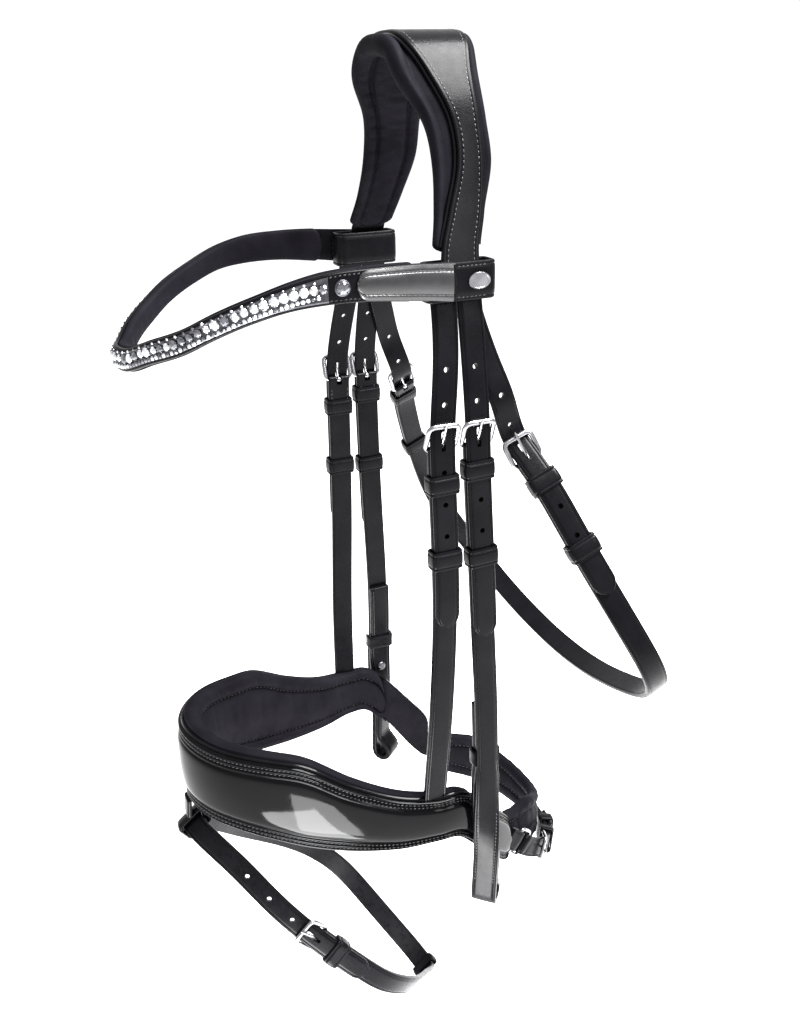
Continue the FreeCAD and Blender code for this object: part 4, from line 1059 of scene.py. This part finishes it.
def browband():
    band = Band(BROWBAND_SHAPE)
    share = np.linspace(0, 1, 300)
    _, _, sizes = band.frames(share)
    top, bottom = sizes[:, 0], sizes[:, 1]
    skin = Skin()
    side = [(-2.4, 0.6), (-1.6, 0.0), (-0.6, 0.05), (0.05, 0.7), (0.1, 1.3), (-0.15, 1.7), (0.0, 2.2)]
    controls = two_edged(side, top, bottom, 0.0) + [(-2.4, (top + bottom) / 2)]
    skin.grid(upright_band(band, share, controls, per=2, round_reach=1.0))
    for height in (top - 1.75, bottom + 1.75):
        for low, high in ((0.008, 0.19), (0.81, 0.992)):
            keep = (share > low) & (share < high)
            band_seam(skin, band, share, height, keep=keep, pitch=2.2, length=1.5)
    leather_piece(skin, "browband_leather", "browband", "browband_strap")

    skin = Skin()
    share = np.linspace(0.052, 0.948, 260)
    _, _, sizes = band.frames(share)
    top, bottom = sizes[:, 0] - 0.2, sizes[:, 1] + 0.2
    middle, tall = (top + bottom) / 2, (top - bottom) / 11
    pucker = 0.12 * np.sin(share * band.length * 0.8)
    side = [(-2.6, 1.0), (-3.0, -0.5), (-4.6, -0.9), (-6.2, 0.1), (-6.9, 2.0 * tall)]
    controls = two_edged(side, top, bottom, -7.1 + pucker) + [(-2.6, middle)]
    skin.grid(upright_band(band, share, controls, per=4, round_reach=5.0))
    padding_piece(skin, "browband_padding", "browband", "browband_lining")

    crystals(band)
    patches(band)
    browband_loops()
    browband_plates()


def browband_loops():
    """The loops at the browband's ends, stitched on their outer faces."""
    skin = Skin()
    for mirror in (False, True):
        skin.mirror = mirror
        loop = rounded([
            (LOOP_LOW[0], LOOP_LOW[1]), (LOOP_HIGH[0], LOOP_LOW[1]), (LOOP_HIGH[0], LOOP_HIGH[1]),
            (LOOP_LOW[0], LOOP_HIGH[1])], 1.8, steps=7)
        low, high = LOOP_LOW[2], LOOP_HIGH[2]
        profile = [(0.0, low + 0.5), (0.8, low), (1.6, low + 0.2), (2.05, low + 0.9), (2.05, low + 1.5),
                   (1.8, low + 1.9), (2.1, low + 2.4), (2.25, low + 5.0)]
        profile += [(x, low + high - z) for x, z in reversed(profile)]
        points, dense, normal = hoop(loop, profile, 2)
        skin.grid(points, round_rows=True)
        x, y = dense[:, 0], dense[:, 1]
        face = (x > LOOP_HIGH[0] - 0.1) & (y > LOOP_LOW[1] + 2) & (y < LOOP_HIGH[1] - 2)
        for z in (low + 1.95, high - 1.95):
            line = np.column_stack([dense[face] + normal[face] * 1.9, np.full(face.sum(), z)])
            out = np.column_stack([normal[face], np.zeros(face.sum())])
            stitches(skin, line, out, 1, pitch=2.2, length=1.5)
    leather_piece(skin, "browband_loop_leather", "browband", "browband_loops")


def browband_plates():
    """Plain oval plates on the loops."""
    skin = Skin()
    for mirror in (False, True):
        skin.mirror = mirror
        angle, middle = np.linspace(0, 2 * math.pi, 41)[:-1], (LOOP_LOW[2] + LOOP_HIGH[2]) / 2
        rings = []
        for x, shrink in ((0.0, 0.0), (0.5, 0.0), (0.85, 0.25), (0.85, 0.8), (0.6, 1.0), (0.6, 1.3)):
            place = np.full_like(angle, LOOP_HIGH[0] + LOOP_WALL + 0.2 + x)
            rings.append(np.stack([place, -0.5 + (6.0 - shrink) * np.cos(angle),
                                   middle + (4.2 - shrink) * np.sin(angle)], axis=-1))
        skin.grid(np.array(rings))
    piece(skin, "browband_oval_plates", [STEEL], "browband", stands_for=["browband_plates"])


def on_band(band, along, height, lift):
    """Places and axes on the browband's face, at distances from its middle and over its middle line."""
    share = 0.5 + np.asarray(along) / band.length
    places, outward, sizes = band.frames(share)
    places = places + outward * np.asarray(lift)[..., None]
    places[:, 2] = (sizes[:, 0] + sizes[:, 1]) / 2 + height
    up = np.broadcast_to(np.array([0.0, 0.0, 1.0]), outward.shape)
    return places, np.cross(up, outward), up, outward


def four_claws(skin, places, x, y, z, reach, size):
    """Four claws round each stone. size is their length and their half width."""
    long, wide = size
    for turn in np.radians((45, 135, 225, 315)):
        spot = places + (x * math.cos(turn) + y * math.sin(turn)) * reach
        skin.copies(BEAD, BEAD_FACES, spot, z * long, x * wide, y * wide)


def crystals(band):
    """Rows of large and small stones in a sunk channel, with claws on the large ones."""
    span = (STONES + CHANNEL_END) * STONE_PITCH
    skin = Skin()
    share = 0.5 + np.linspace(-span, span, 240) / band.length
    _, _, sizes = band.frames(share)
    top, bottom = sizes[:, 0] - 1.9, sizes[:, 1] + 1.9
    controls = two_edged([(0.0, 0.0), (0.75, 0.15), (0.55, 0.9)], top, bottom)
    skin.grid(upright_band(band, share, controls, per=2))
    piece(skin, "crystal_bed", [SETTING], "browband", stands_for=["crystal_channel"])

    rows = []
    along = -span + 2.6
    while along < span - 2.0:
        size = random.choice((2.35, 2.35, 2.1, 1.9))
        rows.append((along, random.uniform(0.7, 1.3), size, 0.55, random.random() < 0.3))
        along += size + random.choice((2.1, 2.3, 2.6))
    for start, height, size, pitch in ((-span + 1.4, -2.75, 1.12, 2.42), (-span + 1.9, 4.0, 0.7, 4.7)):
        for k in range(int((2 * span - 2.8) / pitch)):
            rows.append((start + k * pitch, height + random.uniform(-0.1, 0.1),
                         size * random.uniform(0.9, 1.08), 0.6, random.random() < 0.35))
    rows = np.array(rows, float)
    skin = Skin()
    claws = Skin()
    for dark in (0, 1):
        chosen = rows[rows[:, 4] == dark]
        places, x, y, z = on_band(band, chosen[:, 0], chosen[:, 1], chosen[:, 3])
        turn = noise.uniform(0, math.pi, len(chosen))[:, None]
        x, y = x * np.cos(turn) + y * np.sin(turn), y * np.cos(turn) - x * np.sin(turn)
        size = chosen[:, 2:3]
        skin.copies(GEM, GEM_FACES, places, x * size, y * size, z * size * 0.82, mark=dark)
    large = rows[rows[:, 2] > 1.5]
    places, x, y, z = on_band(band, large[:, 0], large[:, 1], large[:, 3] + 0.5)
    four_claws(claws, places, x, y, z, large[:, 2:3] * 0.97, (0.75, 0.36))
    piece(skin, "crystal_stones", [CRYSTAL, SMOKY], "browband", stands_for=["crystals"],
          sharp=4)
    piece(claws, "crystal_claws", [SETTING], "browband")

    skin = Skin()
    for sign in (-1, 1):
        places, x, y, z = on_band(band, np.array([sign * (span + 6.75)]), np.array([0.0]), np.array([0.1]))
        matrix = (np.stack([z[0], x[0], y[0]], axis=1), places[0])
        dome(skin, matrix, 3.9, 1.2, 0.0)
        skin.copies(GEM, GEM_FACES, places + z * 0.8, x * 2.95, y * 2.95, z * 2.0, mark=1)
        four_claws(skin, places + z * 1.4, x, y, z, 2.95, (0.9, 0.4))
    piece(skin, "browband_end_gems", [SETTING, SMOKY], "browband", stands_for=["browband_end_stones"],
          sharp=20)


def patches(band):
    """The raised oval leather patch behind each end stone, with a stitched rim."""
    skin = Skin()
    span = (STONES + CHANNEL_END) * STONE_PITCH
    first, last = span + PATCH_START, 0.493 * band.length
    for sign in (-1, 1):
        along = np.concatenate([first + 6 * (1 - np.cos(np.linspace(0, math.pi / 2, 12))),
                                np.linspace(first + 7, last, 36)])
        share = 0.5 + sign * along / band.length
        _, _, sizes = band.frames(share)
        middle, tall = (sizes[:, 0] + sizes[:, 1]) / 2, (sizes[:, 0] - sizes[:, 1]) / 2 - 1.3
        away = np.clip((along - first) / 6, 0.0, 1)
        half = tall * np.sqrt(np.clip(1 - (1 - away) ** 2, 0.004, 1))
        side = [(0.0, -1.0), (1.0, -0.97), (1.25, -0.84), (1.2, -0.76), (0.95, -0.7), (1.35, -0.6)]
        skin.grid(upright_band(band, share, two_edged(side, middle, middle, 1.8, scale=half), per=2))
        for edge in (1, -1):
            band_seam(skin, band, share, middle + edge * half * 0.78, 1.05, pitch=2.1, length=1.5)
    piece(skin, "browband_patch_leather", [PATCH, THREAD], "browband", stands_for=["browband_patches"])


# ---- Noseband --------------------------------------------------------------------------------------------
def noseband():
    band = Band(NOSEBAND_SHAPE)
    noseband_face(band)
    noseband_padding(band)
    noseband_piping(band)


def noseband_face(band):
    """The patent leather with its ridged, stitched rims, and the lining on its inner face."""
    share = np.linspace(0, 1, 420)
    _, _, sizes = band.frames(share)
    tall = sizes[:, 0] - sizes[:, 1]
    end = np.minimum(share, 1 - share) * band.length
    corner = 5.0 * (1 - np.sqrt(np.clip(1 - (1 - np.minimum(end / 7, 1)) ** 2, 0, 1)))
    top, bottom = sizes[:, 0] - corner, sizes[:, 1] + corner
    k = np.minimum(1.0, tall / 46)
    middle = (top + bottom) / 2
    skin = Skin()
    face = [(-1.7, 0.0), (-0.4, 0.3), (0.35, 1.3), (-0.25, 2.5), (0.5, 3.9), (-0.2, 5.3), (0.75, 6.8),
            (0.3, 8.0), (1.3, 10.0), (1.9, 14.5)]
    controls = two_edged(face, top, bottom, 2.25, scale=k)
    controls += [(-3.0, bottom + 1.0), (-3.0, middle), (-3.0, top - 1.0)]
    skin.grid(upright_band(band, share, controls, per=3))
    controls = [(-3.0, bottom + 1.5), (-3.35, bottom + 2.5), (-3.4, middle), (-3.35, top - 2.5),
                (-3.0, top - 1.5), (-2.6, middle)]
    skin.grid(upright_band(band, share, controls, per=3), 2)
    keep = (share > 0.012) & (share < 0.988)
    for height in (top - 2.5 * k, top - 5.3 * k, bottom + 2.5 * k, bottom + 5.3 * k):
        band_seam(skin, band, share, height, -0.15, keep=keep, pitch=2.4)
    piece(skin, "noseband_patent", [PATENT, THREAD, PADDING], "headpiece", stands_for=["noseband_shell"],
          sharp=50)


def noseband_padding(band):
    """The padding: a roll over each edge and stitched, softer leather between."""
    skin = Skin()
    share = np.linspace(1 - PADDING_END, PADDING_END, 400)
    _, _, sizes = band.frames(share)
    top, bottom, thick = sizes[:, 0], sizes[:, 1], sizes[:, 2] / 10.5
    k = np.minimum(1.0, (top - bottom) / 46)
    middle = (top + bottom) / 2
    wave = 0.16 * np.sin(share * band.length * 0.75) + 0.10 * noise.standard_normal(len(share))
    roll = [(-3.3, -0.5), (-4.4, -2.3), (-7.6, -3.2), (-11.0, -2.0), (-12.9, 1.6), (-12.2, 5.0), (-9.7, 7.6),
            (-11.6, 10.5)]
    near = PAD_NEAR * (1 - thick)
    controls = [(u * thick - near + wave * (z > 0), top - z * k) for u, z in roll]
    controls.append((-13.4 * thick - near + wave, middle))
    controls += [(u * thick - near - wave * (z > 0), bottom + z * 0.85 * k) for u, z in reversed(roll)]
    controls.append((-3.4, middle))
    skin.grid(upright_band(band, share, controls, per=4, round_reach=7.0))
    keep = (share > 0.09) & (share < 0.91)
    for height in (top - 7.6 * k, bottom + 7.6 * 0.85 * k):
        band_seam(skin, band, share, height, -9.9 * thick - near, face=-1, keep=keep, pitch=3.0)
    padding_piece(skin, "noseband_pad", "headpiece", "noseband_padding")


def noseband_piping(band):
    skin = Skin()
    share = np.linspace(1 - PADDING_END, PADDING_END, 380)
    places, outward, sizes = band.frames(share)
    for edge, rise in ((0, 0.5), (1, -0.5)):
        path = places - outward * 2.7
        path[:, 2] = sizes[:, edge] + rise
        wire(skin, path, 1.15, [0, 0, 1], closed=False, count=8)
    piece(skin, "noseband_piping", [TRIM], "headpiece")


def chin():
    band = Band(CHIN_PAD_SHAPE)
    share = np.linspace(0, 1, 160)
    _, _, sizes = band.frames(share)
    top, bottom = sizes[:, 0], sizes[:, 1]
    middle = (top + bottom) / 2
    wave = 0.16 * np.sin(share * band.length * 0.8) + 0.08 * noise.standard_normal(len(share))
    side = [(3.2, 2.2), (3.0, 6.2), (1.5, 8.2), (2.6, 10.4)]
    outer = two_edged([(u + wave, z) for u, z in side], top, bottom, 3.2 + wave)
    controls = [(0.0, top)] + outer + [(0.0, bottom)]
    controls += [(-u - 0.6 - wave, bottom + z) for u, z in side] + [(-4.2 - wave, middle)]
    controls += [(-u - 0.6 - wave, top - z) for u, z in reversed(side)]
    skin = Skin()
    skin.grid(upright_band(band, share, controls, per=4, round_reach=6.0))
    keep = (share > 0.05) & (share < 0.95)
    for height in (top - 8.2, bottom + 8.2):
        for lift, face in ((1.6, 1), (-2.2, -1)):
            band_seam(skin, band, share, height, lift, face, keep, pitch=2.8)
    padding_piece(skin, "chin_padding", "headpiece", "chin_pad")


# ---- Crank strap -----------------------------------------------------------------------------------------
def crank():
    start = CRANK.matrix(0.0)
    skin = Skin()
    for mirror in (False, True):
        skin.mirror = mirror
        corners = [(0, -RING_SIDE, 0), (0, RING_SIDE, 0), (0, RING_SIDE, RING_REACH),
                   (0, -RING_SIDE, RING_REACH)]
        wire(skin, placed(rounded(corners, 2.0), start), RING_WIRE, start[0][:, 0], count=12)
    piece(skin, "crank_ring_wires", [STEEL], "headpiece", stands_for=["crank_rings"])

    skin = Skin()
    for mirror in (False, True):
        skin.mirror = mirror
        fold(skin, folded_line(start, RING_REACH, 1, 9.0))
    leather_piece(skin, "crank_tab_leather", "headpiece", "crank_tabs")

    skin = Skin()
    strap(skin, CRANK, 3.0, 70.0, BILLET_LAYER, holes=even_holes(CRANK_HEEL, 0, 2))
    fold(skin, folded_line(start, 0.0, -1, 7.0))
    leather_piece(skin, "crank_billet_leather", "headpiece", "crank_billet")

    skin = Skin()
    buckled(skin, CRANK, CRANK_HEEL, CRANK.length - 2.0)
    fold(skin, folded_line(turned_line(CRANK).matrix(0.0), 0.0, -1, 7.0, flip=-1))
    leather_piece(skin, "crank_strap_leather", "headpiece", "crank_strap")

    for name, distance, slack, owner in (
            ("crank_fixed_keeper", CRANK_KEEPERS[0], SLACK, "headpiece"),
            ("crank_running_keeper", CRANK_KEEPERS[1], 0.8, "crank_running_keeper")):
        keeper_piece(name + "_leather", name, owner, CRANK, distance, height=9.0, slack=slack)
    buckle_pieces("crank", "crank_buckle", "headpiece", CRANK, CRANK_HEEL)


def fold(skin, line):
    """Thin leather along the whole of a folded line."""
    strap(skin, line, 0.0, 99.0, THIN_LAYER, step=1.5)


def folded_line(matrix, bar, away, leg, flip=1):
    """The middle of a thin strap folded round a bar at height bar. away is the way the two legs run."""
    turn, place = matrix
    radius = 2.25
    flat = [(-1.2, bar + away * leg, math.pi), (-1.5, bar + away * leg * 0.6, math.pi)]
    for angle in np.linspace(math.pi, 0, 15):
        flat.append((radius * math.cos(angle), bar - away * radius * math.sin(angle), angle))
    flat += [(1.5, bar + away * leg * 0.6, 0.0), (1.2, bar + away * leg, 0.0)]
    places = np.array([(x * flip, 0, z) for x, z, _ in flat]) @ turn.T + place
    outward = np.array([(math.cos(a) * flip, 0, -away * math.sin(a)) for _, _, a in flat]) @ turn.T
    return Line(places, outward, np.broadcast_to(turn[:, 1], places.shape))


# ---- Flash -----------------------------------------------------------------------------------------------
def flash():
    skin = Skin()
    holes = even_holes(FLASH_HEEL, 3, 1, FLASH_HOLE_PITCH, used=3.0)
    strap(skin, FLASH, 0.0, 146.0, BILLET_LAYER, holes=holes, ends=("square", "point"))
    buckled(skin, FLASH, FLASH_HEEL, FLASH.length)
    strap(skin, FLASH, 0.0, 7.0, STRAP_LAYER)
    leather_piece(skin, "flash_strap_leather", "flash", "flash_strap")
    skin = Skin()
    keeper(skin, FLASH, 0.0, *STACK, height=9.6, slack=1.2, thick=1.4)
    route = np.array([(0, -157.6, -400.0), (0, -158.0, -404.0), (0, -158.4, -409.0), (0, -159.0, -416.0)])
    neck = Line(route, np.array([(0, -1, 0)] * 4, float), np.array([(1, 0, 0)] * 4, float))
    strap(skin, neck, 2.0, neck.length - 2.0, (-1.6, 1.2), half=5.0, step=1.5)
    leather_piece(skin, "flash_tab_leather", "flash", "flash_tab")
    buckle_pieces("flash", "flash_buckle", "flash", FLASH, FLASH_HEEL)
    keeper_piece("flash_fixed_keeper_leather", "flash_fixed_keeper", "flash", FLASH, FLASH_KEEPER, height=9.5)
    keeper_piece("flash_running_keeper_leather", "flash_running_keeper", "flash_running_keeper", FLASH,
                 FLASH.length / 2, STRAP_LAYER, height=6.3, slack=1.0)


# ---- Studio ----------------------------------------------------------------------------------------------
def towards(azimuth, elevation):
    """The direction in which the azimuth runs from the nose, 0, round to the near side, 90 degrees."""
    return Vector((math.sin(azimuth) * math.cos(elevation), -math.cos(azimuth) * math.cos(elevation),
                   math.sin(elevation)))


def studio():
    mesh = bpy.data.meshes.new("floor")
    corners = [(x * FLOOR_HALF, y * FLOOR_HALF, FLOOR_LEVEL) for x, y in ((-1, -1), (1, -1), (1, 1), (-1, 1))]
    mesh.from_pydata(corners, [], [(0, 1, 2, 3)])
    floor = bpy.data.objects.new("floor", mesh)
    bpy.context.scene.collection.objects.link(floor)
    made, tree, shader = nodes_for("pale_floor")
    haze = texture(tree, "ShaderNodeTexNoise", 3, detail=2)
    colour = tones(tree, haze.outputs[0], (0.955, 0.955, 0.96), (0.97, 0.97, 0.975))
    tree.links.new(colour, shader.inputs["Base Color"])
    settings(shader, {"Roughness": 0.9})
    mesh.materials.append(made)

    world = bpy.data.worlds.new("studio")
    bpy.context.scene.world = world
    world.use_nodes = True
    back = world.node_tree.nodes["Background"]
    settings(back, {"Color": (1.0, 1.0, 1.0, 1), "Strength": 1.05})

    for name, target, azimuth, elevation, distance, size, radiance in LIGHTS:
        light = bpy.data.lights.new(name, "AREA")
        light.shape, light.size, light.size_y = "RECTANGLE", size[0], size[1]
        light.energy = radiance * math.pi * size[0] * size[1]
        lamp = bpy.data.objects.new(name, light)
        direction = towards(math.radians(azimuth), math.radians(elevation))
        lamp.location = Vector(target) * METRES + direction * distance
        lamp.rotation_euler = direction.to_track_quat("Z", "Y").to_euler()
        lamp.visible_camera = False
        bpy.context.scene.collection.objects.link(lamp)


def camera():
    azimuth, elevation = CAMERA_TURN
    back = towards(azimuth, elevation)
    right = Vector((math.cos(azimuth), math.sin(azimuth), 0))
    up = back.cross(right)
    turned = right * math.cos(CAMERA_ROLL) + up * math.sin(CAMERA_ROLL)
    upright = up * math.cos(CAMERA_ROLL) - right * math.sin(CAMERA_ROLL)
    data = bpy.data.cameras.new("camera")
    data.lens, data.sensor_width = CAMERA_LENS, CAMERA_FILM
    data.clip_start, data.clip_end = 0.01, 50
    view = bpy.data.objects.new("camera", data)
    turn = Matrix((turned, upright, back)).transposed().to_4x4()
    view.matrix_world = Matrix.Translation(CAMERA_PLACE) @ turn
    bpy.context.scene.collection.objects.link(view)
    bpy.context.scene.camera = view


for side_name, far in SIDES:
    cheek_side(side_name, far)
throatlash()
headpiece()
browband()
noseband()
chin()
crank()
flash()
studio()
camera()
bpy.context.scene.view_settings.view_transform = "Standard"
